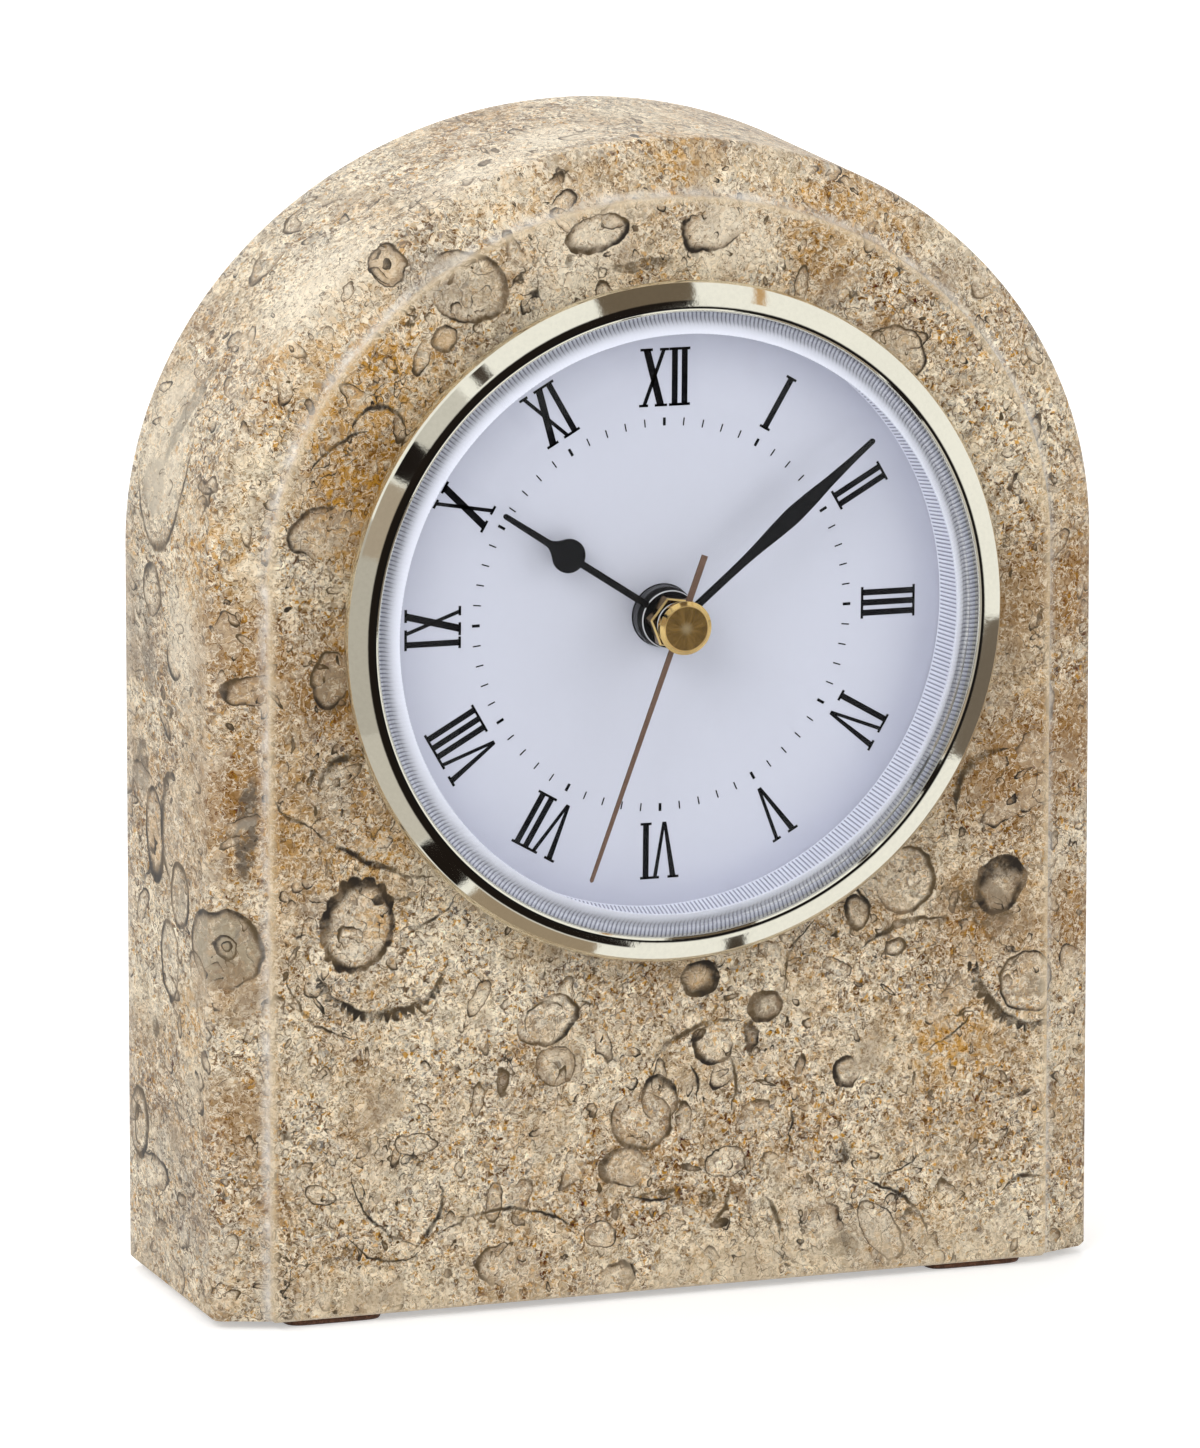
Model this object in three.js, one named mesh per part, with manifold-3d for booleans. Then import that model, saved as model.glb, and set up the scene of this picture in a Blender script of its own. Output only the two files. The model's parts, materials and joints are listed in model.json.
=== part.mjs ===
// A desk clock: an arched block of polished fossil stone with a round quartz clock pushed into its face.
// Millimetres, +Z up. The dial faces -Y, and the origin lies under the middle of the clock's box.
// Angles of hands and arbors are in degrees.
import * as THREE from "three";
import { mergeVertices } from "three/addons/utils/BufferGeometryUtils.js";
import Module from "manifold-3d";

const wasm = await Module();
wasm.setup();

// Gaps between pieces
const REST = 0.1; // between faces that rest on each other
const FIT = 0.05; // round a press fit
const SLIP = 0.2; // round the large rings of the insert
const RUN = 0.1; // round a turning shaft
const ROOM = 0.6; // round what turns or stands inside the movement

// Stone block
const STONE_WIDTH = 122;
const STONE_SPRING = 96.5; // height of the straight sides
const STONE_RISE = 56; // height of the elliptical arch above them
const STONE_DEPTH = 40;
const STONE_BACK_EASE = 1.2;
const BORDER_WIDTH = 7.4; // from the block's side to the flat panel
const BORDER_DROP = 3.4; // fall of the border from the step to its outer corner
const STEP_WIDTH = 0.75;
const STEP_DROP = 1.3;
const STEP_HOLLOW = 0.75; // share of that fall reached half way across the step
const CORNER_ROUND = 1.5; // round between the border and the block's side
const DIAL_DROP = 6.2; // dial centre below the spring of the arch

// Felt pads
const PAD_SIZE = 13.5;
const PAD_CORNER = 1;
const PAD_THICK = 1;
const PAD_SIDE_INSET = 2.2; // from the panel's side edge
const PAD_FRONT_INSET = 1.5;
const PAD_BACK_INSET = 3;

// Bezel, lens and serrated ring
const BEZEL_WALL = 2.4; // from its outer side to the rabbet that takes the lens
const BEZEL_SIDE = 4.4; // height of its outer side, which leans in towards the panel
const BEZEL_UNDERCUT = 1.1;
const BEZEL_HEIGHT = 6.9;
const BEZEL_CHAMFER = 1.1; // width and fall of the flank from its crest to the lens
const BEZEL_LIP_THICK = 0.4;
const BEZEL_LIP_REACH = 1.2; // how far the lip covers the lens
const LENS_RIM_THICK = 1.1;
const LENS_RIM_WIDTH = 1.4;
const LENS_THICK = 1.6; // at the middle
const LENS_CAP_ROOM = 1.2; // from the second hand's cap to the dome
const LENS_TIP_ROOM = 0.9; // from the hands' tips to the dome
const RING_FOOT = 0.7; // width of the serrated ring where it stands on the dial
const RING_FLARE = 1.2; // how far its inner wall leans out

// Dial and the cup behind it
const DIAL_SINK = 1; // dial face behind the panel
const DIAL_THICK = 0.4;
const CUP_FLOOR = 1.5;
const CUP_WALL = 1;
const CUP_FLANGE_THICK = 0.9;
const SKIRT_WALL = 1.5;
const SKIRT_DEPTH = 13; // behind the cup's floor
const HOOK_WIDTH = 9;
const HOOK_THICK = 1.4;
const HOOK_NOSE = 0.8;
const GASKET_THICK = 1.37;
const GASKET_WIDTH = 8;
const GASKET_RIB = 1.2;
const GASKET_SETBACK = 2.5; // from the cup's shoulder

// Hands, as heights above the dial and lengths from the centre
const HOUR_LIFT = 2.8;
const MINUTE_LIFT = 5.8;
const SECOND_LIFT = 7;
const HAND_MARGIN = 3; // from the longest hand's tip to the serrated ring
const HAND_THICK = 0.4;
const SECOND_THICK = 0.25;
const HOUR_LENGTH = 27.3;
const HOUR_HUB_RADIUS = 4;
const HOUR_DISC_REACH = 16.7;
const HOUR_DISC_RADIUS = 2.3;
const HOUR_SHOULDER = 45; // where the shoulder leaves the disc, from its widest point
const HOUR_NECK = 4.6; // from the disc's centre to the end of the shoulder
const HOUR_STEM_WIDTH = 1.15;
const HOUR_TIP_WIDTH = 0.9;
const HOUR_ANGLE = 303.8;
const MINUTE_LENGTH = 35.2;
const MINUTE_HUB_RADIUS = 3.2;
const MINUTE_STEM_WIDTH = 1.1;
const MINUTE_LEAF_WIDTH = 2.4;
const MINUTE_LEAF_REACH = 20.5; // where the leaf is widest
const MINUTE_TIP_WIDTH = 0.75;
const MINUTE_ANGLE = 50.2;
const SECOND_LENGTH = 35.3;
const SECOND_TAIL = 9.8;
const SECOND_TIP_WIDTH = 0.6;
const SECOND_TAIL_WIDTH = 1.1;
const SECOND_HUB_RADIUS = 2.4;
const SECOND_ANGLE = 200.3;
const CAP_RADIUS = 3.55;
const CAP_HEIGHT = 2.2;
const CAP_BEVEL = 0.4;
const BUSH_ACROSS_FLATS = 6;
const BUSH_HEIGHT = 2.1;

// Coaxial shafts
const BUSHING_RADIUS = 4;
const BUSHING_PROUD = 1.5; // above the dial
const HOUR_TUBE_RADIUS = 2.5;
const MINUTE_TUBE_RADIUS = 1.6;
const ARBOR_RADIUS = 0.5;
const TUBE_PROUD = 0.2; // end of a tube above the hand pressed on it

// Gear train: teeth, the reach from one arbor to the next, and its bearing seen from the front
const HOUR_WHEEL_TEETH = 40;
const MOTION_PINION_TEETH = 10;
const MOTION_WHEEL_TEETH = 36;
const CANNON_TEETH = 12;
const SETTING_TEETH = 12;
const CENTRE_WHEEL_TEETH = 64;
const THIRD_PINION_TEETH = 8;
const THIRD_WHEEL_TEETH = 60;
const SECONDS_PINION_TEETH = 8;
const SECONDS_WHEEL_TEETH = 48;
const INTERMEDIATE_PINION_TEETH = 8;
const INTERMEDIATE_WHEEL_TEETH = 40;
const ROTOR_TEETH = 8;
const MOTION_REACH = 8.4;
const MOTION_BEARING = 200;
const SETTING_BEARING = 180;
const THIRD_REACH = 10.2;
const THIRD_BEARING = 110;
const INTERMEDIATE_REACH = 10.5;
const INTERMEDIATE_BEARING = 30;
const ROTOR_REACH = 8.1;
const ROTOR_BEARING = 75;
const GEAR_THICK = 1;
const LAYER_GAP = 0.6;
const ADDENDUM = 0.9; // tooth height over and under the pitch circle, in modules
const DEDENDUM = 1.15;
const WHEEL_ROOT_SHARE = 0.58; // width of a wheel's pointed tooth at its root, as a share of the pitch
const LEAF_ROOT_SHARE = 0.46; // width of a pinion's flat-topped leaf at its root and tip
const LEAF_TIP_SHARE = 0.17;
const MOST_LEAVES = 12; // a gear with more teeth than this is a wheel

// Movement case, battery and setting knob
const CASE_WALL = 1.3;
const CASE_CORNER = 5;
const FRONT_CASE_DEPTH = 3.4;
const PIVOT_WALL = 0.8;
const PIVOT_LENGTH = 1;
const BATTERY_LENGTH = 50.5;
const BATTERY_RADIUS = 7.1;
const BATTERY_NUB_RADIUS = 2.75;
const BATTERY_NUB_LENGTH = 1.2;
const BATTERY_EDGE = 0.6;
const CONTACT_THICK = 0.4;
const CONTACT_BULGE = 0.8;
const CONTACT_WIDTH = 6;
const SETTING_STEM_RADIUS = 1.5;
const KNOB_RADIUS = 6;
const KNOB_THICK = 3.2;
const KNOB_STANDOFF = 1.2;
const KNOB_FLUTES = 18;
const KNOB_FLUTE_DEPTH = 0.5;

// Stepping motor and circuit
const MAGNET_RADIUS = 3;
const MAGNET_LENGTH = 2.5;
const STATOR_THICK = 0.8;
const STATOR_WALL = 2;
const STATOR_LEG = 3;
const COIL_REACH = 9.5; // from the rotor up to the coil
const COIL_LENGTH = 22;
const COIL_RADIUS = 2.7;
const COIL_FLANGE = 1;
const WINDING_RADIUS = 2.3;
const BOBBIN_RADIUS = 1.5;
const CORE_WIDTH = 1.6;
const BOARD_WIDTH = 8;
const BOARD_LENGTH = 13;
const BOARD_THICK = 1;
const CHIP_SIZE = 4;
const CHIP_THICK = 1;
const CRYSTAL_RADIUS = 1;
const CRYSTAL_LENGTH = 5;

// Facets
const ARCH_STEPS = 36;
const RING_STEPS = 40;
const ROD_STEPS = 18;
const PIVOT_STEPS = 8;
const DOME_STEPS = 5;
const ROUND_STEPS = 4;
const CURVE_STEPS = 2;
const HAND_STEPS = 6;

// Colours and finishes
const FINISH = {
  stone: { color: 0xc6b698, roughness: 0.35, metalness: 0 },
  felt: { color: 0x6a4a35, roughness: 1, metalness: 0 },
  bezelGold: { color: 0xd9cfb4, roughness: 0.12, metalness: 1 },
  lens: { color: 0xf4f6fb, roughness: 0.05, metalness: 0, transparent: true, opacity: 0.2 },
  ring: { color: 0xdfe2ee, roughness: 0.2, metalness: 0 },
  dial: { color: 0xd3d5e2, roughness: 0.5, metalness: 0 },
  blackPlastic: { color: 0x1b1b1c, roughness: 0.55, metalness: 0 },
  greyPlastic: { color: 0x2a2b2d, roughness: 0.6, metalness: 0 },
  rubber: { color: 0x141414, roughness: 0.9, metalness: 0 },
  blackHand: { color: 0x121212, roughness: 0.35, metalness: 0.2 },
  bronzeHand: { color: 0x795f50, roughness: 0.35, metalness: 0.8 },
  brass: { color: 0xb08a3c, roughness: 0.25, metalness: 1 },
  steel: { color: 0xb8bbc0, roughness: 0.3, metalness: 1 },
  whiteGear: { color: 0xe8e6df, roughness: 0.5, metalness: 0 },
  amberGear: { color: 0xc79a55, roughness: 0.5, metalness: 0 },
  magnet: { color: 0x3d3d42, roughness: 0.4, metalness: 0.7 },
  copper: { color: 0xb4693a, roughness: 0.35, metalness: 0.9 },
  board: { color: 0x2f6a3c, roughness: 0.5, metalness: 0 },
  cell: { color: 0x4a4f57, roughness: 0.35, metalness: 0.6 },
};

// Solids: cutting and joining

function solidOf(geometry) {
  const bare = geometry.index ? geometry.toNonIndexed() : geometry.clone();
  bare.deleteAttribute("normal");
  bare.deleteAttribute("uv");
  const merged = mergeVertices(bare);
  const vertProperties = merged.attributes.position.array;
  const triVerts = new Uint32Array(merged.index.array);
  return new wasm.Manifold(new wasm.Mesh({ numProp: 3, vertProperties, triVerts }));
}

function geometryOf(solid) {
  const mesh = solid.getMesh();
  const geometry = new THREE.BufferGeometry();
  geometry.setAttribute("position", new THREE.BufferAttribute(mesh.vertProperties, 3));
  geometry.setIndex(new THREE.BufferAttribute(mesh.triVerts, 1));
  return geometry;
}

function join(...parts) {
  return geometryOf(parts.map(solidOf).reduce((sum, part) => sum.add(part)));
}

function cut(base, ...tools) {
  return geometryOf(tools.map(solidOf).reduce((rest, tool) => rest.subtract(tool), solidOf(base)));
}

// Basic forms. In the insert's own axes x is right, y is up and z comes out of the dial.

// A ring turned about z from a closed profile of [radius, height], taken anticlockwise.
function turned(profile, steps = RING_STEPS) {
  const points = [...profile, profile[0]].map(([radius, height]) => new THREE.Vector2(radius, height));
  return new THREE.LatheGeometry(points, steps).rotateX(Math.PI / 2);
}

function tube(outer, inner, back, front, steps = ROD_STEPS) {
  const profile = [
    [inner, back],
    [outer, back],
    [outer, front],
    [inner, front],
  ];
  return turned(profile, steps);
}

function rod(radius, back, front, steps = ROD_STEPS) {
  const cylinder = new THREE.CylinderGeometry(radius, radius, front - back, steps);
  return cylinder.rotateX(Math.PI / 2).translate(0, 0, (front + back) / 2);
}

function plate(shape, back, front) {
  const options = { depth: front - back, bevelEnabled: false, curveSegments: CURVE_STEPS };
  return new THREE.ExtrudeGeometry(shape, options).translate(0, 0, back);
}

function block(x0, x1, y0, y1, back, front) {
  const box = new THREE.BoxGeometry(x1 - x0, y1 - y0, front - back);
  return box.translate((x0 + x1) / 2, (y0 + y1) / 2, (front + back) / 2);
}

function roundedRectangle(x0, x1, y0, y1, radius) {
  const shape = new THREE.Shape();
  shape.absarc(x1 - radius, y1 - radius, radius, 0, Math.PI / 2);
  shape.absarc(x0 + radius, y1 - radius, radius, Math.PI / 2, Math.PI);
  shape.absarc(x0 + radius, y0 + radius, radius, Math.PI, 1.5 * Math.PI);
  shape.absarc(x1 - radius, y0 + radius, radius, 1.5 * Math.PI, 2 * Math.PI);
  return shape;
}

function bored(shape, radius) {
  const circle = new THREE.EllipseCurve(0, 0, radius, radius).getPoints(ROD_STEPS).slice(1);
  shape.holes.push(new THREE.Path(circle.reverse()));
  return shape;
}

const radians = THREE.MathUtils.degToRad;

function polar(reach, bearing) {
  return new THREE.Vector2(reach * Math.cos(radians(bearing)), reach * Math.sin(radians(bearing)));
}

// Levels along the insert's axis, measured from the stone's panel
const dialFront = -DIAL_SINK;
const dialBack = dialFront - DIAL_THICK;
const floorFront = dialBack - REST;
const floorBack = floorFront - CUP_FLOOR;
const flangeFront = REST + CUP_FLANGE_THICK;
const lipFront = BEZEL_HEIGHT - BEZEL_CHAMFER;
const lipBack = lipFront - BEZEL_LIP_THICK;
const lensRimFront = lipBack - REST;
const lensRimBack = lensRimFront - LENS_RIM_THICK;
const ringFront = lensRimBack - REST;
const caseFront = floorBack - REST;
const caseInner = caseFront - CASE_WALL;
const layerPitch = GEAR_THICK + LAYER_GAP;
const layerFront = (layer) => caseInner - ROOM - layer * layerPitch;
const layerBack = (layer) => layerFront(layer) - GEAR_THICK;
const [hourLayer, motionLayer, centreLayer, thirdLayer, secondsLayer, rotorLayer] = [0, 1, 2, 3, 4, 5];
const magnetFront = layerBack(rotorLayer) - LAYER_GAP;
const magnetBack = magnetFront - MAGNET_LENGTH;
const caseRearInner = magnetBack - PIVOT_LENGTH - ROOM;
const caseBack = caseRearInner - CASE_WALL;
const caseSplit = caseFront - FRONT_CASE_DEPTH;

const hourFront = dialFront + HOUR_LIFT + HAND_THICK;
const minuteFront = dialFront + MINUTE_LIFT + HAND_THICK;
const secondFront = dialFront + SECOND_LIFT + SECOND_THICK;
const capBack = secondFront + FIT;
const domeInner = capBack + CAP_HEIGHT + LENS_CAP_ROOM;
const domeOuter = domeInner + LENS_THICK;
const bushingBore = HOUR_TUBE_RADIUS + RUN;
const hourTubeBore = MINUTE_TUBE_RADIUS + RUN;
const minuteTubeBore = ARBOR_RADIUS + RUN;

// Scene graph: the block stands on its pads, and the insert's z axis comes out of the dial.
const clock = new THREE.Group();
const stoneGroup = new THREE.Group();
const insert = new THREE.Group();
clock.add(stoneGroup, insert);

const panelY = (domeOuter - STONE_DEPTH) / 2; // centres the clock's box front to back
const stoneFoot = PAD_THICK + REST;
stoneGroup.position.set(0, panelY, 0);
insert.position.set(0, panelY, stoneFoot + STONE_SPRING - DIAL_DROP);
insert.rotation.x = Math.PI / 2;

function addPiece(group, name, finish, geometry, axis = new THREE.Vector2(), angle = 0) {
  const mesh = new THREE.Mesh(geometry, new THREE.MeshStandardMaterial(finish));
  mesh.name = name;
  mesh.position.set(axis.x, axis.y, 0);
  mesh.rotation.z = -radians(angle); // clockwise as the dial is read
  group.add(mesh);
}

// Arbors of the train
const centreAxis = new THREE.Vector2();
const motionAxis = polar(MOTION_REACH, MOTION_BEARING);
const thirdAxis = polar(THIRD_REACH, THIRD_BEARING);
const intermediateAxis = polar(INTERMEDIATE_REACH, INTERMEDIATE_BEARING);
const rotorAxis = polar(ROTOR_REACH, ROTOR_BEARING).add(intermediateAxis);
const moduleOf = (reach, teeth, otherTeeth) => (2 * reach) / (teeth + otherTeeth);
const hourModule = moduleOf(MOTION_REACH, HOUR_WHEEL_TEETH, MOTION_PINION_TEETH);
const motionModule = moduleOf(MOTION_REACH, CANNON_TEETH, MOTION_WHEEL_TEETH);
const centreModule = moduleOf(THIRD_REACH, CENTRE_WHEEL_TEETH, THIRD_PINION_TEETH);
const thirdModule = moduleOf(THIRD_REACH, THIRD_WHEEL_TEETH, SECONDS_PINION_TEETH);
const secondsModule = moduleOf(INTERMEDIATE_REACH, SECONDS_WHEEL_TEETH, INTERMEDIATE_PINION_TEETH);
const rotorModule = moduleOf(ROTOR_REACH, INTERMEDIATE_WHEEL_TEETH, ROTOR_TEETH);
const settingReach = (motionModule * (MOTION_WHEEL_TEETH + SETTING_TEETH)) / 2;
const settingAxis = polar(settingReach, SETTING_BEARING).add(motionAxis);
const tipRadius = (teeth, module) => module * (teeth / 2 + ADDENDUM);

// The case is as large as the train, the motor and the battery need.
const centreReach = Math.max(
  tipRadius(CENTRE_WHEEL_TEETH, centreModule),
  tipRadius(SECONDS_WHEEL_TEETH, secondsModule),
  tipRadius(MOTION_WHEEL_TEETH, motionModule) - motionAxis.y,
);
const coilY = rotorAxis.y + COIL_REACH;
const statorHalf = COIL_LENGTH / 2 + REST + STATOR_LEG;
const bayTop = -(centreReach + ROOM + CASE_WALL);
const bayBottom = bayTop - 2 * (BATTERY_RADIUS + ROOM);
const batteryY = (bayTop + bayBottom) / 2;
const caseBottom = bayBottom - CASE_WALL;
const caseTop = coilY + COIL_RADIUS + ROOM + CASE_WALL;
const contactRoom = REST + CONTACT_THICK + CONTACT_BULGE + REST;
const innerHalf = Math.max(BATTERY_LENGTH / 2 + contactRoom, rotorAxis.x + statorHalf + ROOM);
const caseHalf = innerHalf + CASE_WALL;

// The insert grows from the case outwards: skirt, gasket, bore, dial, lens and bezel.
const caseReach = Math.max(caseTop, -caseBottom);
const cornerReach = Math.hypot(caseHalf - CASE_CORNER, caseReach - CASE_CORNER) + CASE_CORNER;
const hookReach = caseReach + REST + HOOK_THICK;
const movementNeed = Math.max(cornerReach, hookReach) + SLIP + SKIRT_WALL + FIT + GASKET_THICK + FIT;
const handReach = Math.max(SECOND_LENGTH, MINUTE_LENGTH) + HAND_MARGIN;
const handNeed = handReach + RING_FOOT + SLIP + CUP_WALL + SLIP;
const boreRadius = Math.max(movementNeed, handNeed);
const skirtOuter = boreRadius - FIT - GASKET_THICK - FIT;
const skirtInner = skirtOuter - SKIRT_WALL;
const cupOuter = boreRadius - SLIP;
const dialRecess = cupOuter - CUP_WALL;
const dialRadius = dialRecess - SLIP;
const ringInner = dialRadius - RING_FOOT;
const lensOpening = ringInner + RING_FLARE + LENS_RIM_WIDTH;
const lensRadius = lensOpening + BEZEL_LIP_REACH;
const rabbetRadius = lensRadius + SLIP;
const bezelRadius = rabbetRadius + BEZEL_WALL;

// Stone block, lofted through arched outlines that step in towards the front panel

function archOutline(inset) {
  const half = STONE_WIDTH / 2 - inset;
  const rise = STONE_RISE - inset;
  const points = [new THREE.Vector2(-half, 0)];
  for (let step = 0; step <= ARCH_STEPS; step += 1) {
    const angle = Math.PI * (1 - step / ARCH_STEPS);
    points.push(new THREE.Vector2(half * Math.cos(angle), STONE_SPRING + rise * Math.sin(angle)));
  }
  points.push(new THREE.Vector2(half, 0));
  return points;
}

// [inset, depth behind the panel] from the panel's edge round to the back
function stoneLevels() {
  const levels = [
    [BORDER_WIDTH, 0],
    [BORDER_WIDTH - STEP_WIDTH / 2, STEP_DROP * STEP_HOLLOW],
    [BORDER_WIDTH - STEP_WIDTH, STEP_DROP],
  ];
  const cornerDepth = STEP_DROP + BORDER_DROP;
  for (let step = 0; step <= ROUND_STEPS; step += 1) {
    const angle = ((Math.PI / 2) * step) / ROUND_STEPS;
    const inset = CORNER_ROUND * (1 - Math.sin(angle));
    levels.push([inset, cornerDepth - CORNER_ROUND * Math.cos(angle)]);
  }
  levels.push([0, STONE_DEPTH - STONE_BACK_EASE], [STONE_BACK_EASE, STONE_DEPTH]);
  return levels;
}

function lofted(levels) {
  const outlines = levels.map(([inset]) => archOutline(inset));
  const count = outlines[0].length;
  const positions = outlines.flatMap((outline, level) =>
    outline.flatMap((point) => [point.x, levels[level][1], stoneFoot + point.y]),
  );
  const index = [];
  for (let level = 0; level + 1 < levels.length; level += 1) {
    for (let point = 0; point < count; point += 1) {
      const here = level * count + point;
      const next = level * count + ((point + 1) % count);
      index.push(here, next, here + count, next, next + count, here + count);
    }
  }
  const lastLevel = (levels.length - 1) * count;
  for (const [a, b, c] of THREE.ShapeUtils.triangulateShape(outlines[0], [])) {
    index.push(a, b, c);
  }
  for (const [a, b, c] of THREE.ShapeUtils.triangulateShape(outlines.at(-1), [])) {
    index.push(lastLevel + a, lastLevel + c, lastLevel + b);
  }
  const geometry = new THREE.BufferGeometry();
  geometry.setAttribute("position", new THREE.Float32BufferAttribute(positions, 3));
  geometry.setIndex(index);
  return geometry;
}

function stoneBody() {
  const bore = new THREE.CylinderGeometry(boreRadius, boreRadius, STONE_DEPTH + 2 * ROOM, RING_STEPS);
  bore.translate(0, STONE_DEPTH / 2, insert.position.z);
  return cut(lofted(stoneLevels()), bore);
}

addPiece(stoneGroup, "stone_body", FINISH.stone, stoneBody());

const padHalf = PAD_SIZE / 2;
const padX = STONE_WIDTH / 2 - BORDER_WIDTH - PAD_SIDE_INSET - padHalf;
const padRows = { front: PAD_FRONT_INSET + padHalf, rear: STONE_DEPTH - PAD_BACK_INSET - padHalf };
for (const [row, padY] of Object.entries(padRows)) {
  for (const [side, sign] of Object.entries({ left: -1, right: 1 })) {
    const outline = roundedRectangle(-padHalf, padHalf, -padHalf, padHalf, PAD_CORNER);
    const place = new THREE.Vector2(sign * padX, padY);
    addPiece(stoneGroup, `felt_pad_${row}_${side}`, FINISH.felt, plate(outline, 0, PAD_THICK), place);
  }
}

// Bezel, lens, serrated ring, dial and cup

function bezelProfile() {
  const profile = [
    [rabbetRadius, REST],
    [bezelRadius - BEZEL_UNDERCUT, REST],
  ];
  const crest = lensOpening + BEZEL_CHAMFER;
  const shoulder = bezelRadius - crest;
  for (let step = 0; step <= DOME_STEPS; step += 1) {
    const angle = ((Math.PI / 2) * step) / DOME_STEPS;
    const radius = crest + shoulder * Math.cos(angle);
    profile.push([radius, BEZEL_SIDE + (BEZEL_HEIGHT - BEZEL_SIDE) * Math.sin(angle)]);
  }
  profile.push([lensOpening, lipFront], [lensOpening, lipBack], [rabbetRadius, lipBack]);
  return profile;
}

// The dome is flat in the middle and falls towards its rim as a power that clears the hands' tips.
function lensProfile() {
  const innerReach = lensOpening - LENS_RIM_WIDTH / 2;
  const outerReach = lensOpening - SLIP;
  const powerOver = (reach, front) => {
    const height = (front + LENS_TIP_ROOM - lensRimBack) / (domeInner - lensRimBack);
    return Math.log(1 - height) / Math.log(reach / innerReach);
  };
  const power = Math.max(powerOver(SECOND_LENGTH, secondFront), powerOver(MINUTE_LENGTH, minuteFront));
  const dome = (share, foot, top) => foot + (top - foot) * (1 - share ** power);
  const profile = [];
  for (let step = 0; step <= DOME_STEPS; step += 1) {
    const share = step / DOME_STEPS;
    profile.push([innerReach * share, dome(share, lensRimBack, domeInner)]);
  }
  profile.push([lensRadius, lensRimBack], [lensRadius, lensRimFront]);
  for (let step = DOME_STEPS; step >= 0; step -= 1) {
    const share = step / DOME_STEPS;
    profile.push([outerReach * share, dome(share, lensRimFront, domeOuter)]);
  }
  return profile;
}

function ringProfile() {
  return [
    [ringInner, dialFront + REST],
    [dialRadius, dialFront + REST],
    [dialRadius, flangeFront + REST],
    [lensRadius, flangeFront + REST],
    [lensRadius, ringFront],
    [ringInner + RING_FLARE, ringFront],
  ];
}

function cupProfile() {
  return [
    [BUSHING_RADIUS + SLIP, floorFront],
    [BUSHING_RADIUS + SLIP, floorBack],
    [skirtInner, floorBack],
    [skirtInner, floorBack - SKIRT_DEPTH],
    [skirtOuter, floorBack - SKIRT_DEPTH],
    [skirtOuter, floorBack],
    [cupOuter, floorBack],
    [cupOuter, REST],
    [lensRadius, REST],
    [lensRadius, flangeFront],
    [dialRecess, flangeFront],
    [dialRecess, floorFront],
  ];
}

// A snap hook that stands on the cup's floor and holds the movement's rear edge.
function cupHook(reach) {
  const foot = reach + REST;
  const outline = new THREE.Shape();
  outline.moveTo(foot, floorBack + FIT);
  outline.lineTo(foot, caseBack - REST);
  outline.lineTo(foot - HOOK_NOSE, caseBack - REST);
  outline.lineTo(foot, caseBack - REST - HOOK_THICK);
  outline.lineTo(foot + HOOK_THICK, caseBack - REST - HOOK_THICK);
  outline.lineTo(foot + HOOK_THICK, floorBack + FIT);
  const hook = plate(outline, -HOOK_WIDTH / 2, HOOK_WIDTH / 2);
  return hook.rotateX(Math.PI / 2);
}

function insertCup() {
  const right = cupHook(caseHalf);
  const left = cupHook(caseHalf).rotateZ(Math.PI);
  const top = cupHook(caseTop).rotateZ(Math.PI / 2);
  const bottom = cupHook(-caseBottom).rotateZ(-Math.PI / 2);
  return join(turned(cupProfile()), right, left, top, bottom);
}

function gasketProfile() {
  const front = floorBack - GASKET_SETBACK;
  const inner = skirtOuter + FIT;
  const outer = inner + GASKET_THICK;
  const valley = (inner + outer) / 2;
  const back = front - GASKET_WIDTH;
  return [
    [inner, back],
    [outer, back],
    [outer, back + GASKET_RIB],
    [valley, (front + back) / 2],
    [outer, front - GASKET_RIB],
    [outer, front],
    [inner, front],
  ];
}

const dialDisc = tube(dialRadius, BUSHING_RADIUS + SLIP, dialBack, dialFront, RING_STEPS);
addPiece(insert, "bezel", FINISH.bezelGold, turned(bezelProfile()));
addPiece(insert, "lens", FINISH.lens, turned(lensProfile()));
addPiece(insert, "dial_ring", FINISH.ring, turned(ringProfile()));
addPiece(insert, "dial", FINISH.dial, dialDisc);
addPiece(insert, "insert_cup", FINISH.blackPlastic, insertCup());
addPiece(insert, "grip_gasket", FINISH.rubber, turned(gasketProfile()));

// Hands. Each shape points to twelve and is turned to its time.

// A hand's outline: its hub, the stem's half width there, and a path up its right side that ends at the tip.
function handShape(hub, halfWidth, rightSide) {
  const lean = Math.asin(halfWidth / hub);
  const right = new THREE.Path();
  right.moveTo(hub * Math.sin(lean), hub * Math.cos(lean));
  rightSide(right);
  const points = right.getPoints(HAND_STEPS);
  const mirrored = points.map((point) => new THREE.Vector2(-point.x, point.y)).reverse();
  const shape = new THREE.Shape([...points, ...mirrored]);
  shape.absarc(0, 0, hub, Math.PI / 2 + lean, 2.5 * Math.PI - lean);
  return shape;
}

function hourHandShape() {
  const stem = HOUR_STEM_WIDTH / 2;
  const tip = HOUR_TIP_WIDTH / 2;
  const waist = Math.asin(stem / HOUR_DISC_RADIUS);
  return handShape(HOUR_HUB_RADIUS, stem, (side) => {
    side.absarc(0, HOUR_DISC_REACH, HOUR_DISC_RADIUS, waist - Math.PI / 2, radians(HOUR_SHOULDER));
    side.quadraticCurveTo(stem, HOUR_DISC_REACH + HOUR_NECK / 2, stem, HOUR_DISC_REACH + HOUR_NECK);
    side.lineTo(tip, HOUR_LENGTH - tip);
    side.lineTo(tip / 2, HOUR_LENGTH);
  });
}

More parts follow.
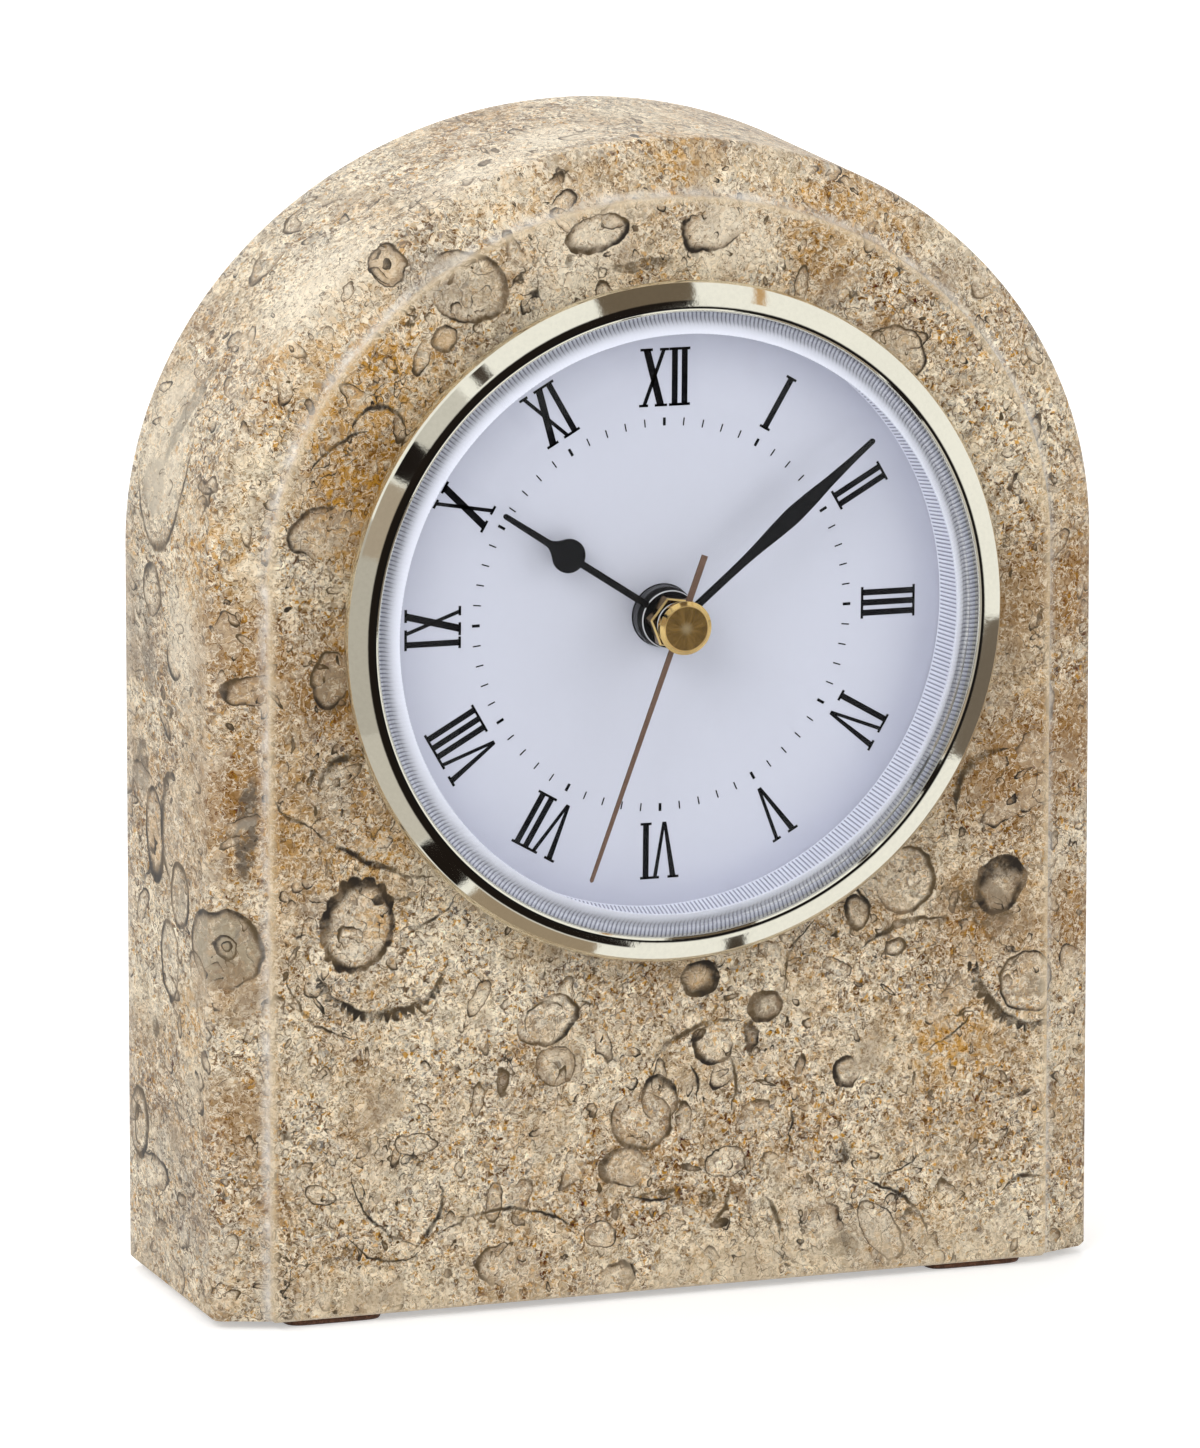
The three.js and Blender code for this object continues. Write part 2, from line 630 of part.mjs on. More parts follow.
function minuteHandShape() {
  const stem = MINUTE_STEM_WIDTH / 2;
  const leaf = MINUTE_LEAF_WIDTH / 2;
  const tip = MINUTE_TIP_WIDTH / 2;
  const leafFoot = MINUTE_LEAF_REACH / 2;
  const leafTop = (MINUTE_LEAF_REACH + MINUTE_LENGTH) / 2;
  return handShape(MINUTE_HUB_RADIUS, stem, (side) => {
    side.lineTo(stem, leafFoot);
    const swell = (leafFoot + MINUTE_LEAF_REACH) / 2;
    side.bezierCurveTo(stem, swell, leaf, swell, leaf, MINUTE_LEAF_REACH);
    const taper = (MINUTE_LEAF_REACH + leafTop) / 2;
    side.bezierCurveTo(leaf, taper, tip, taper, tip, leafTop);
    side.lineTo(tip, MINUTE_LENGTH - tip);
    side.lineTo(tip / 2, MINUTE_LENGTH);
  });
}

function secondHandShape() {
  const tip = SECOND_TIP_WIDTH / 2;
  return handShape(SECOND_HUB_RADIUS, tip, (side) => side.lineTo(tip, SECOND_LENGTH));
}

function secondHand() {
  const back = secondFront - SECOND_THICK;
  const half = SECOND_TAIL_WIDTH / 2;
  const blade = plate(bored(secondHandShape(), ARBOR_RADIUS + FIT), back, secondFront);
  return join(blade, block(-half, half, -SECOND_TAIL, -SECOND_HUB_RADIUS / 2, back, secondFront));
}

// A round cap with a bevelled rim, bored at the back for the arbor
function secondCap() {
  const front = capBack + CAP_HEIGHT;
  const bore = ARBOR_RADIUS + FIT;
  const boreEnd = capBack + CAP_HEIGHT / 2 + FIT;
  return turned(
    [
      [0, boreEnd],
      [bore, boreEnd],
      [bore, capBack],
      [CAP_RADIUS, capBack],
      [CAP_RADIUS, front - CAP_BEVEL],
      [CAP_RADIUS - CAP_BEVEL, front],
      [0, front],
    ],
    RING_STEPS / 2,
  );
}

function minuteBush() {
  const front = minuteFront - HAND_THICK - FIT;
  const corner = BUSH_ACROSS_FLATS / 2 / Math.cos(Math.PI / 6);
  const hexagon = new THREE.Shape([0, 60, 120, 180, 240, 300].map((bearing) => polar(corner, bearing)));
  return plate(bored(hexagon, MINUTE_TUBE_RADIUS + FIT), front - BUSH_HEIGHT, front);
}

const hourPlate = plate(bored(hourHandShape(), HOUR_TUBE_RADIUS + FIT), hourFront - HAND_THICK, hourFront);
const minutePlate = plate(
  bored(minuteHandShape(), MINUTE_TUBE_RADIUS + FIT),
  minuteFront - HAND_THICK,
  minuteFront,
);
addPiece(insert, "hour_hand", FINISH.blackHand, hourPlate, centreAxis, HOUR_ANGLE);
addPiece(insert, "minute_hand", FINISH.blackHand, minutePlate, centreAxis, MINUTE_ANGLE);
addPiece(insert, "minute_hand_bush", FINISH.brass, minuteBush(), centreAxis, MINUTE_ANGLE);
addPiece(insert, "second_hand", FINISH.bronzeHand, secondHand(), centreAxis, SECOND_ANGLE);
addPiece(insert, "second_hand_cap", FINISH.brass, secondCap());

// Gear train

// A toothed outline whose first tooth points along turn, in radians.
// Wheels have pointed teeth and pinions have flat-topped leaves.
function toothed(teeth, module, turn) {
  const pitch = (2 * Math.PI) / teeth;
  const tip = tipRadius(teeth, module);
  const root = module * (teeth / 2 - DEDENDUM);
  const pointed = [
    [root, -WHEEL_ROOT_SHARE / 2],
    [tip, 0],
    [root, WHEEL_ROOT_SHARE / 2],
  ];
  const leaf = [
    [root, -LEAF_ROOT_SHARE / 2],
    [tip, -LEAF_TIP_SHARE / 2],
    [tip, LEAF_TIP_SHARE / 2],
    [root, LEAF_ROOT_SHARE / 2],
  ];
  const corners = teeth > MOST_LEAVES ? pointed : leaf;
  const points = [];
  for (let tooth = 0; tooth < teeth; tooth += 1) {
    for (const [radius, share] of corners) {
      const angle = turn + (tooth + share) * pitch;
      points.push(new THREE.Vector2(radius * Math.cos(angle), radius * Math.sin(angle)));
    }
  }
  return new THREE.Shape(points);
}

// The turn that sets a gear's gap on its neighbour's tooth along the line from the neighbour to it.
function meshTurn(neighbourTeeth, neighbourTurn, teeth, neighbourAxis, axis) {
  const line = Math.atan2(axis.y - neighbourAxis.y, axis.x - neighbourAxis.x);
  const phase = ((line - neighbourTurn) * neighbourTeeth) / (2 * Math.PI);
  return line + Math.PI - ((0.5 - phase) * 2 * Math.PI) / teeth;
}

const motionTurn = meshTurn(CANNON_TEETH, 0, MOTION_WHEEL_TEETH, centreAxis, motionAxis);
const hourTurn = meshTurn(MOTION_PINION_TEETH, 0, HOUR_WHEEL_TEETH, motionAxis, centreAxis);
const settingTurn = meshTurn(MOTION_WHEEL_TEETH, motionTurn, SETTING_TEETH, motionAxis, settingAxis);
const thirdTurn = meshTurn(SECONDS_PINION_TEETH, 0, THIRD_WHEEL_TEETH, centreAxis, thirdAxis);
const centreTurn = meshTurn(THIRD_PINION_TEETH, 0, CENTRE_WHEEL_TEETH, thirdAxis, centreAxis);
const secondsTurn = meshTurn(INTERMEDIATE_PINION_TEETH, 0, SECONDS_WHEEL_TEETH, intermediateAxis, centreAxis);
const intermediateTurn = meshTurn(ROTOR_TEETH, 0, INTERMEDIATE_WHEEL_TEETH, rotorAxis, intermediateAxis);

function gear(teeth, module, turn, back, front, bore) {
  return plate(bored(toothed(teeth, module, turn), bore), back, front);
}

// Arbors run from a pivot in the front case to one in the rear case.
const pivotFront = caseInner - REST;
const pivotBack = caseRearInner + REST;

// The hour wheel turns inside the bushing and carries the hour hand on its tube.
function hourWheel() {
  const back = layerBack(hourLayer);
  const wheel = gear(HOUR_WHEEL_TEETH, hourModule, hourTurn, back, layerFront(hourLayer), hourTubeBore);
  return join(wheel, tube(HOUR_TUBE_RADIUS, hourTubeBore, back, hourFront + TUBE_PROUD));
}

// The minute tube ends in the cannon pinion, and the centre wheel slips on it as a clutch.
function minuteTube() {
  const back = layerBack(centreLayer) - LAYER_GAP / 2;
  const pinionBack = layerBack(motionLayer);
  const pinion = gear(CANNON_TEETH, motionModule, 0, pinionBack, layerFront(motionLayer), minuteTubeBore);
  return join(pinion, tube(MINUTE_TUBE_RADIUS, minuteTubeBore, back, minuteFront + TUBE_PROUD));
}

function motionWheel() {
  const back = layerBack(motionLayer);
  const bore = ARBOR_RADIUS + RUN;
  const wheel = gear(MOTION_WHEEL_TEETH, motionModule, motionTurn, back, layerFront(motionLayer), bore);
  return join(wheel, gear(MOTION_PINION_TEETH, hourModule, 0, back, layerFront(hourLayer), bore));
}

function centreWheel() {
  const back = layerBack(centreLayer);
  const bore = MINUTE_TUBE_RADIUS + RUN;
  return gear(CENTRE_WHEEL_TEETH, centreModule, centreTurn, back, layerFront(centreLayer), bore);
}

function thirdWheel() {
  const back = layerBack(thirdLayer);
  const bore = ARBOR_RADIUS / 2;
  const wheel = gear(THIRD_WHEEL_TEETH, thirdModule, thirdTurn, back, layerFront(thirdLayer), bore);
  const pinion = gear(THIRD_PINION_TEETH, centreModule, 0, back, layerFront(centreLayer), bore);
  return join(wheel, pinion, rod(ARBOR_RADIUS, pivotBack, pivotFront));
}

function secondsWheel() {
  const back = layerBack(secondsLayer);
  const bore = ARBOR_RADIUS + FIT;
  const wheel = gear(SECONDS_WHEEL_TEETH, secondsModule, secondsTurn, back, layerFront(secondsLayer), bore);
  return join(wheel, gear(SECONDS_PINION_TEETH, thirdModule, 0, back, layerFront(thirdLayer), bore));
}

function intermediateWheel() {
  const back = layerBack(rotorLayer);
  const front = layerFront(rotorLayer);
  const bore = ARBOR_RADIUS / 2;
  const wheel = gear(INTERMEDIATE_WHEEL_TEETH, rotorModule, intermediateTurn, back, front, bore);
  const pinion = gear(INTERMEDIATE_PINION_TEETH, secondsModule, 0, back, layerFront(secondsLayer), bore);
  return join(wheel, pinion, rod(ARBOR_RADIUS, pivotBack, pivotFront));
}

function rotorPinion() {
  const bore = ARBOR_RADIUS / 2;
  const pinion = gear(ROTOR_TEETH, rotorModule, 0, layerBack(rotorLayer), layerFront(rotorLayer), bore);
  return join(pinion, rod(ARBOR_RADIUS, pivotBack, pivotFront));
}

const magnet = tube(MAGNET_RADIUS, ARBOR_RADIUS + FIT, magnetBack, magnetFront);
const secondsArbor = rod(ARBOR_RADIUS, pivotBack, capBack + CAP_HEIGHT / 2);
addPiece(insert, "hour_wheel", FINISH.whiteGear, hourWheel());
addPiece(insert, "minute_tube", FINISH.brass, minuteTube());
addPiece(insert, "centre_wheel", FINISH.amberGear, centreWheel());
addPiece(insert, "motion_wheel", FINISH.whiteGear, motionWheel(), motionAxis);
addPiece(insert, "third_wheel", FINISH.whiteGear, thirdWheel(), thirdAxis);
addPiece(insert, "seconds_wheel", FINISH.amberGear, secondsWheel());
addPiece(insert, "seconds_arbor", FINISH.steel, secondsArbor);
addPiece(insert, "intermediate_wheel", FINISH.whiteGear, intermediateWheel(), intermediateAxis);
addPiece(insert, "rotor_pinion", FINISH.whiteGear, rotorPinion(), rotorAxis);
addPiece(insert, "rotor_magnet", FINISH.magnet, magnet, rotorAxis);

// Setting stem, whose pinion drives the motion wheel, and the fluted knob on its rear end

const knobFront = caseBack - KNOB_STANDOFF;
const stemBack = knobFront - KNOB_THICK / 2;

function settingStem() {
  const pinionBack = layerBack(motionLayer);
  const pinionFront = layerFront(motionLayer);
  const bore = ARBOR_RADIUS / 2;
  const pinion = gear(SETTING_TEETH, motionModule, settingTurn, pinionBack, pinionFront, bore);
  const pivot = rod(ARBOR_RADIUS, pinionBack, pivotFront);
  return join(pinion, pivot, rod(SETTING_STEM_RADIUS, stemBack, pinionBack + GEAR_THICK / 2));
}

function settingKnob() {
  const pitch = 360 / KNOB_FLUTES;
  const points = [];
  for (let flute = 0; flute < KNOB_FLUTES; flute += 1) {
    points.push(polar(KNOB_RADIUS, flute * pitch));
    points.push(polar(KNOB_RADIUS - KNOB_FLUTE_DEPTH, (flute + 0.5) * pitch));
  }
  const knob = plate(new THREE.Shape(points), knobFront - KNOB_THICK, knobFront);
  return cut(knob, rod(SETTING_STEM_RADIUS + FIT, stemBack - FIT, knobFront + FIT));
}

addPiece(insert, "setting_stem", FINISH.whiteGear, settingStem(), settingAxis);
addPiece(insert, "setting_knob", FINISH.blackPlastic, settingKnob(), settingAxis);

// Movement case in two halves. The battery bay runs through the rear half and is open behind.

function pivot(axis, bore, back, front) {
  const ring = tube(bore + PIVOT_WALL, bore, back, front, PIVOT_STEPS);
  return ring.translate(axis.x, axis.y, 0);
}

const caseOutline = () => roundedRectangle(-caseHalf, caseHalf, caseBottom, caseTop, CASE_CORNER);
const trainFloor = bayTop + CASE_WALL;
const innerCorner = CASE_CORNER - CASE_WALL;
const cavity = (bottom, top, back, front) =>
  plate(roundedRectangle(-innerHalf, innerHalf, bottom, top, innerCorner), back, front);
const trainCavity = (back, front) => cavity(trainFloor, caseTop - CASE_WALL, back, front);
const batteryBay = (back, front) => cavity(bayBottom, bayTop, back, front);

function frontCase() {
  const shell = plate(caseOutline(), caseSplit, caseFront);
  const open = caseSplit - ROOM;
  const hollow = cut(shell, trainCavity(open, caseInner), batteryBay(open, caseInner));
  const bushing = rod(BUSHING_RADIUS, caseInner, dialFront + BUSHING_PROUD);
  const stud = rod(ARBOR_RADIUS, layerBack(motionLayer), caseInner + CASE_WALL / 2);
  stud.translate(motionAxis.x, motionAxis.y, 0);
  const pivots = [thirdAxis, intermediateAxis, rotorAxis, settingAxis].map((axis) =>
    pivot(axis, ARBOR_RADIUS + RUN, caseInner - PIVOT_LENGTH, caseInner + CASE_WALL / 2),
  );
  const bore = rod(bushingBore, caseInner - ROOM, dialFront + BUSHING_PROUD + ROOM);
  return cut(join(hollow, bushing, stud, ...pivots), bore);
}

function rearCase() {
  const split = caseSplit - REST;
  const shell = plate(caseOutline(), caseBack, split);
  const bay = batteryBay(caseBack - ROOM, split + ROOM);
  const stemHole = rod(SETTING_STEM_RADIUS + RUN, caseBack - ROOM, caseRearInner + ROOM);
  stemHole.translate(settingAxis.x, settingAxis.y, 0);
  const hollow = cut(shell, trainCavity(caseRearInner, split + ROOM), bay, stemHole);
  const pivots = [centreAxis, thirdAxis, intermediateAxis, rotorAxis].map((axis) =>
    pivot(axis, ARBOR_RADIUS + RUN, caseRearInner - CASE_WALL / 2, caseRearInner + PIVOT_LENGTH),
  );
  return join(hollow, ...pivots);
}

addPiece(insert, "movement_front_case", FINISH.blackPlastic, frontCase());
addPiece(insert, "movement_rear_case", FINISH.greyPlastic, rearCase());

// Stepping motor: a U-shaped stator round the rotor, closed by the core that runs through the coil

const statorBack = (magnetFront + magnetBack) / 2 - STATOR_THICK;
const statorFront = statorBack + STATOR_THICK;
const coreBack = statorFront + REST;
const coreFront = coreBack + STATOR_THICK;
const coilLevel = (coreBack + coreFront) / 2;
const coilPlace = new THREE.Vector2(rotorAxis.x, coilY);

function stator() {
  const yokeHalf = MAGNET_RADIUS + ROOM + STATOR_WALL;
  const legInner = statorHalf - STATOR_LEG;
  const legTop = COIL_REACH + CORE_WIDTH;
  const outline = new THREE.Shape();
  outline.moveTo(-statorHalf, -yokeHalf);
  outline.lineTo(statorHalf, -yokeHalf);
  outline.lineTo(statorHalf, legTop);
  outline.lineTo(legInner, legTop);
  outline.lineTo(legInner, yokeHalf);
  outline.lineTo(-legInner, yokeHalf);
  outline.lineTo(-legInner, legTop);
  outline.lineTo(-statorHalf, legTop);
  return plate(bored(outline, MAGNET_RADIUS + ROOM), statorBack, statorFront);
}

function alongX(geometry) {
  return geometry.rotateY(Math.PI / 2).translate(0, 0, coilLevel);
}

function coilBobbin() {
  const half = COIL_LENGTH / 2;
  const bore = Math.hypot(CORE_WIDTH / 2, STATOR_THICK / 2) + FIT;
  const profile = [
    [bore, -half],
    [COIL_RADIUS, -half],
    [COIL_RADIUS, COIL_FLANGE - half],
    [BOBBIN_RADIUS, COIL_FLANGE - half],
    [BOBBIN_RADIUS, half - COIL_FLANGE],
    [COIL_RADIUS, half - COIL_FLANGE],
    [COIL_RADIUS, half],
    [bore, half],
  ];
  return alongX(turned(profile, ROD_STEPS));
}

const windingHalf = COIL_LENGTH / 2 - COIL_FLANGE - FIT;
const winding = alongX(tube(WINDING_RADIUS, BOBBIN_RADIUS + FIT, -windingHalf, windingHalf));
const coreHalf = CORE_WIDTH / 2;
const core = block(-statorHalf, statorHalf, -coreHalf, coreHalf, coreBack, coreFront);
addPiece(insert, "stator", FINISH.steel, stator(), rotorAxis);
addPiece(insert, "coil_core", FINISH.steel, core, coilPlace);
addPiece(insert, "coil_bobbin", FINISH.whiteGear, coilBobbin(), coilPlace);
addPiece(insert, "coil_winding", FINISH.copper, winding, coilPlace);

// Circuit board with its chip and crystal, flat on the rear case

const boardBack = caseRearInner + REST;
const boardFront = boardBack + BOARD_THICK;
const boardHalf = BOARD_WIDTH / 2;
const boardX = innerHalf - ROOM - boardHalf;
const boardPlace = new THREE.Vector2(boardX, trainFloor + innerCorner + BOARD_LENGTH / 2);
const board = block(-boardHalf, boardHalf, -BOARD_LENGTH / 2, BOARD_LENGTH / 2, boardBack, boardFront);
const chipHalf = CHIP_SIZE / 2;
const chipOutline = roundedRectangle(-chipHalf, chipHalf, -chipHalf, chipHalf, chipHalf / 2);
const chip = plate(chipOutline, boardFront + FIT, boardFront + FIT + CHIP_THICK);
const chipPlace = boardPlace.clone().add(new THREE.Vector2(0, -BOARD_LENGTH / 4));
const crystal = rod(CRYSTAL_RADIUS, -CRYSTAL_LENGTH / 2, CRYSTAL_LENGTH / 2).rotateX(Math.PI / 2);
crystal.translate(0, 0, boardFront + FIT + CRYSTAL_RADIUS);
const crystalPlace = boardPlace.clone().add(new THREE.Vector2(0, BOARD_LENGTH / 4));
addPiece(insert, "circuit_board", FINISH.board, board, boardPlace);
addPiece(insert, "circuit_chip", FINISH.blackPlastic, chip, chipPlace);
addPiece(insert, "quartz_crystal", FINISH.steel, crystal, crystalPlace);

// Battery lying across the bay, with a sprung contact at each end

const batteryLevel = caseInner - REST - BATTERY_RADIUS;
const batteryPlace = new THREE.Vector2(0, batteryY);

function battery() {
  const half = BATTERY_LENGTH / 2;
  const shoulder = half - BATTERY_NUB_LENGTH;
  const profile = [
    [0, -half],
    [BATTERY_RADIUS - BATTERY_EDGE, -half],
    [BATTERY_RADIUS, BATTERY_EDGE - half],
    [BATTERY_RADIUS, shoulder - BATTERY_EDGE],
    [BATTERY_RADIUS - BATTERY_EDGE, shoulder],
    [BATTERY_NUB_RADIUS, shoulder],
    [BATTERY_NUB_RADIUS, half],
    [0, half],
  ];
  return turned(profile, RING_STEPS / 2).rotateY(Math.PI / 2).translate(0, 0, batteryLevel);
}

// A strip against the case wall whose middle is pressed out towards the battery.
function contact(side) {
  const wall = innerHalf - REST;
  const face = wall - CONTACT_THICK;
  const crest = BATTERY_LENGTH / 2 + REST;
  const half = (bayTop - bayBottom) / 2 - innerCorner - FIT; // the flat part of the wall
  const shape = new THREE.Shape();
  shape.moveTo(side * wall, -half);
  shape.lineTo(side * wall, half);
  shape.lineTo(side * face, half);
  shape.lineTo(side * face, half / 2);
  shape.lineTo(side * crest, half / 4);
  shape.lineTo(side * crest, -half / 4);
  shape.lineTo(side * face, -half / 2);
  shape.lineTo(side * face, -half);
  return plate(shape, batteryLevel - CONTACT_WIDTH / 2, batteryLevel + CONTACT_WIDTH / 2);
}

addPiece(insert, "battery", FINISH.cell, battery(), batteryPlace);
addPiece(insert, "contact_positive", FINISH.steel, contact(1), batteryPlace);
addPiece(insert, "contact_negative", FINISH.steel, contact(-1), batteryPlace);

export default clock;
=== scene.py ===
import json
import math

import bmesh
import bpy
import numpy as np
from mathutils import Matrix, Vector


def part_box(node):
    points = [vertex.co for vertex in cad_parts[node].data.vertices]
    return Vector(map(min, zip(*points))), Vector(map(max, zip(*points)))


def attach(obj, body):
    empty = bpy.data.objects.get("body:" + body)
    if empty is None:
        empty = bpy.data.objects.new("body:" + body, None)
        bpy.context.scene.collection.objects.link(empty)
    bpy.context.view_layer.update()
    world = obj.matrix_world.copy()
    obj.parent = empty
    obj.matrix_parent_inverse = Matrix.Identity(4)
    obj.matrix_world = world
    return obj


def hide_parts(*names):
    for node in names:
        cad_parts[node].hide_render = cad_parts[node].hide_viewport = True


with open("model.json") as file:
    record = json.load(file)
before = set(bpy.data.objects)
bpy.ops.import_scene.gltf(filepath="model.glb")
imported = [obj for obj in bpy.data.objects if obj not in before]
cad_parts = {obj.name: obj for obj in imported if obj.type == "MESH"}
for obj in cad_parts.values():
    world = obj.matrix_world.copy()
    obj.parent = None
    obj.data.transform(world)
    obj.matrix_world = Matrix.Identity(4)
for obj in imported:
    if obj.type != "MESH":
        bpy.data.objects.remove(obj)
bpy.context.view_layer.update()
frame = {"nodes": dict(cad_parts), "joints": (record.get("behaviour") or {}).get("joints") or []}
scene = bpy.context.scene
mm = 0.001
print("frame loaded with", len(frame["nodes"]), "nodes")

# places and sizes taken from the frame, in mm
minuteJoint = next(j for j in frame["joints"] if j["name"] == "minute_hand_turn")
dialCentre = np.array(minuteJoint["pos_m"]) / mm  # on the panel's face, under the hands


def boxOf(node):
    low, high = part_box(node)
    return np.array(low) / mm, np.array(high) / mm


def radiusOf(node):
    low, high = boxOf(node)
    return (high[2] - low[2]) / 2


def levelsOf(node):
    # how far a node's back and front stand out of the panel
    low, high = boxOf(node)
    return dialCentre[1] - high[1], dialCentre[1] - low[1]


def fromInsert(points):
    # the insert's axes, right, up and out of the dial, turned into the frame's
    p = np.asarray(points, float)
    return dialCentre + np.stack([p[..., 0], -p[..., 2], p[..., 1]], -1)


# meshes from arrays

def gridFaces(rows, columns, wrapRows, wrapColumns):
    # one quad for each cell of a grid, joined at its ends where it wraps
    r = np.arange(rows if wrapRows else rows - 1)[:, None]
    c = np.arange(columns if wrapColumns else columns - 1)[None, :]
    r2, c2 = (r + 1) % rows, (c + 1) % columns
    corners = np.broadcast_arrays(r * columns + c, r2 * columns + c, r2 * columns + c2, r * columns + c2)
    return np.stack(corners, -1).reshape(-1, 4)


def newPiece(name, parts, body, material, replaces=(), sharp=32, marks=None):
    # parts are (points in mm, faces); marks are named values, one for each point
    mesh = bpy.data.meshes.new(name)
    points = np.concatenate([np.reshape(p, (-1, 3)) for p, f in parts]) * mm
    starts = np.cumsum([0] + [np.size(p) // 3 for p, f in parts[:-1]])
    faces = [face for start, (p, f) in zip(starts, parts) for face in (np.asarray(f) + start).tolist()]
    mesh.from_pydata(points.tolist(), [], faces)
    for key, values in (marks or {}).items():
        mesh.attributes.new(key, "FLOAT", "POINT").data.foreach_set("value", np.ravel(values).astype(np.float32))
    work = bmesh.new()
    work.from_mesh(mesh)
    bmesh.ops.remove_doubles(work, verts=work.verts, dist=1e-7)
    bmesh.ops.dissolve_degenerate(work, edges=work.edges, dist=1e-8)
    bmesh.ops.recalc_face_normals(work, faces=work.faces)
    work.to_mesh(mesh)
    work.free()
    mesh.polygons.foreach_set("use_smooth", np.ones(len(mesh.polygons), bool))
    mesh.set_sharp_from_angle(angle=math.radians(sharp))
    piece = bpy.data.objects.new(name, mesh)
    scene.collection.objects.link(piece)
    mesh.materials.append(material)
    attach(piece, body)
    if replaces:
        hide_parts(*replaces)
    return piece


def turns(steps):
    return np.linspace(0, 2 * np.pi, steps, endpoint=False)[:, None]


def roundGrid(turn, radius, level, closed=True):
    # radius and level, one row for each turn or one for all, carried round the insert's axis
    points = np.stack(np.broadcast_arrays(radius * np.cos(turn), radius * np.sin(turn), level + 0 * turn), -1)
    return fromInsert(points), gridFaces(*points.shape[:2], True, closed)


def latheGrid(profile, steps=128, closed=True):
    # a profile of [radius, level] turned about the insert's axis
    return roundGrid(turns(steps), *np.asarray(profile, float).T, closed)


def arcOf(centre, size, start, end, steps=8):
    # points on an ellipse's arc, in degrees
    angle = np.radians(np.linspace(start, end, steps))
    return np.stack([centre[0] + size[0] * np.cos(angle), centre[1] + size[1] * np.sin(angle)], -1)


# shader helpers

def feed(tree, node, inputs):
    # a socket is linked to its input, and any other value is set on it
    for key, value in inputs.items():
        if isinstance(value, bpy.types.NodeSocket):
            tree.links.new(value, node.inputs[key])
        else:
            node.inputs[key].default_value = value
    return node


def add(tree, kind, inputs=None, **settings):
    node = tree.nodes.new("ShaderNode" + kind)
    for key, value in settings.items():
        setattr(node, key, value)
    return feed(tree, node, inputs or {})


def calc(tree, operation, *values, clamp=False):
    inputs = dict(enumerate(values))
    return add(tree, "Math", inputs, operation=operation, use_clamp=clamp).outputs[0]


def times(tree, first, second):
    return calc(tree, "MULTIPLY", first, second)


def vectorCalc(tree, operation, *values):
    node = add(tree, "VectorMath", dict(enumerate(values)), operation=operation)
    return node.outputs["Value" if operation in ("LENGTH", "DOT_PRODUCT", "DISTANCE") else "Vector"]


def ramp(tree, value, low, high):
    # 0 at low and below, 1 at high and above, eased between
    node = add(tree, "MapRange", {0: value, 1: low, 2: high, 3: 0, 4: 1}, interpolation_type="SMOOTHSTEP")
    return node.outputs[0]


def mixed(tree, share, first, second, blend="MIX"):
    node = add(tree, "Mix", {0: share, 6: first, 7: second}, data_type="RGBA", blend_type=blend)
    return node.outputs[2]


def tint(red, green, blue):
    # a colour written as it looks on a screen, 0 to 255, as the linear values that shaders use
    c = np.array([red, green, blue]) / 255
    linear = np.where(c <= 0.04045, c / 12.92, ((c + 0.055) / 1.055) ** 2.4)
    return (*linear.tolist(), 1.0)


def newGroup(name, inputs, outputs):
    # a group's tree, its inputs and the node that takes its outputs; an input of None is a vector
    tree = bpy.data.node_groups.new(name, "ShaderNodeTree")
    for key, value in inputs.items():
        kind = "NodeSocketVector" if value is None else "NodeSocketFloat"
        socket = tree.interface.new_socket(key, in_out="INPUT", socket_type=kind)
        if value is not None:
            socket.default_value = value
    for key in outputs:
        tree.interface.new_socket(key, in_out="OUTPUT", socket_type="NodeSocketFloat")
    return tree, tree.nodes.new("NodeGroupInput").outputs, tree.nodes.new("NodeGroupOutput")


def place(tree, group, inputs):
    node = tree.nodes.new("ShaderNodeGroup")
    node.node_tree = group
    return feed(tree, node, inputs).outputs


def newMaterial(name, **settings):
    # a material with its Principled shader, whose plain values are set on its own sockets
    material = bpy.data.materials.new(name)
    material.use_nodes = True
    tree = material.node_tree
    shader = tree.nodes["Principled BSDF"]
    for key, value in settings.items():
        shader.inputs[key].default_value = value
    return material, tree, shader


def objectPlace(tree):
    return add(tree, "TexCoord").outputs["Object"]


def ownMark(tree, name):
    return add(tree, "Attribute", attribute_name=name).outputs["Fac"]


def bumped(tree, height, strength, distance):
    # a normal from a height, with its distance in mm
    return add(tree, "Bump", {"Strength": strength, "Distance": distance * mm, "Height": height}).outputs[0]


def toned(colour, gain):
    # a colour made darker or lighter
    return (*[min(c * gain, 1) for c in colour[:3]], 1.0)


# shared effect: soft blotches and a fine grain, as a tone from 0 to 1 and a height; sizes in mm
grainTree, grainIn, grainOut = newGroup(
    "fineGrain", {"Place": None, "Blotch Size": 8.0, "Grain Size": 0.4}, ["Tone", "Height"])


def grainNoise(size, detail):
    scale = calc(grainTree, "DIVIDE", 1000, grainIn[size])
    return add(grainTree, "TexNoise", {"Vector": grainIn["Place"], "Scale": scale, "Detail": detail}).outputs[0]


blotch, grain = grainNoise("Blotch Size", 3), grainNoise("Grain Size", 2)
tone = calc(grainTree, "MULTIPLY_ADD", grain, 0.5, times(grainTree, blotch, 0.5))
feed(grainTree, grainOut, {"Tone": tone, "Height": grain})


def shellWall(tree, inputs):
    # distance from a fossil's middle, and its wall's strength and thickness, which swell towards the heavy side
    axes = add(tree, "SeparateXYZ", {0: inputs["Local"]}).outputs
    reach = vectorCalc(tree, "LENGTH", inputs["Local"])
    lean = times(tree, axes["Z"], inputs["Lean Z"])
    lean = calc(tree, "MULTIPLY_ADD", axes["X"], inputs["Lean X"], lean)
    strength = calc(tree, "ADD", calc(tree, "DIVIDE", lean, reach), inputs["Even"])
    return reach, strength, times(tree, inputs["Wall"], calc(tree, "MAXIMUM", strength, 0))


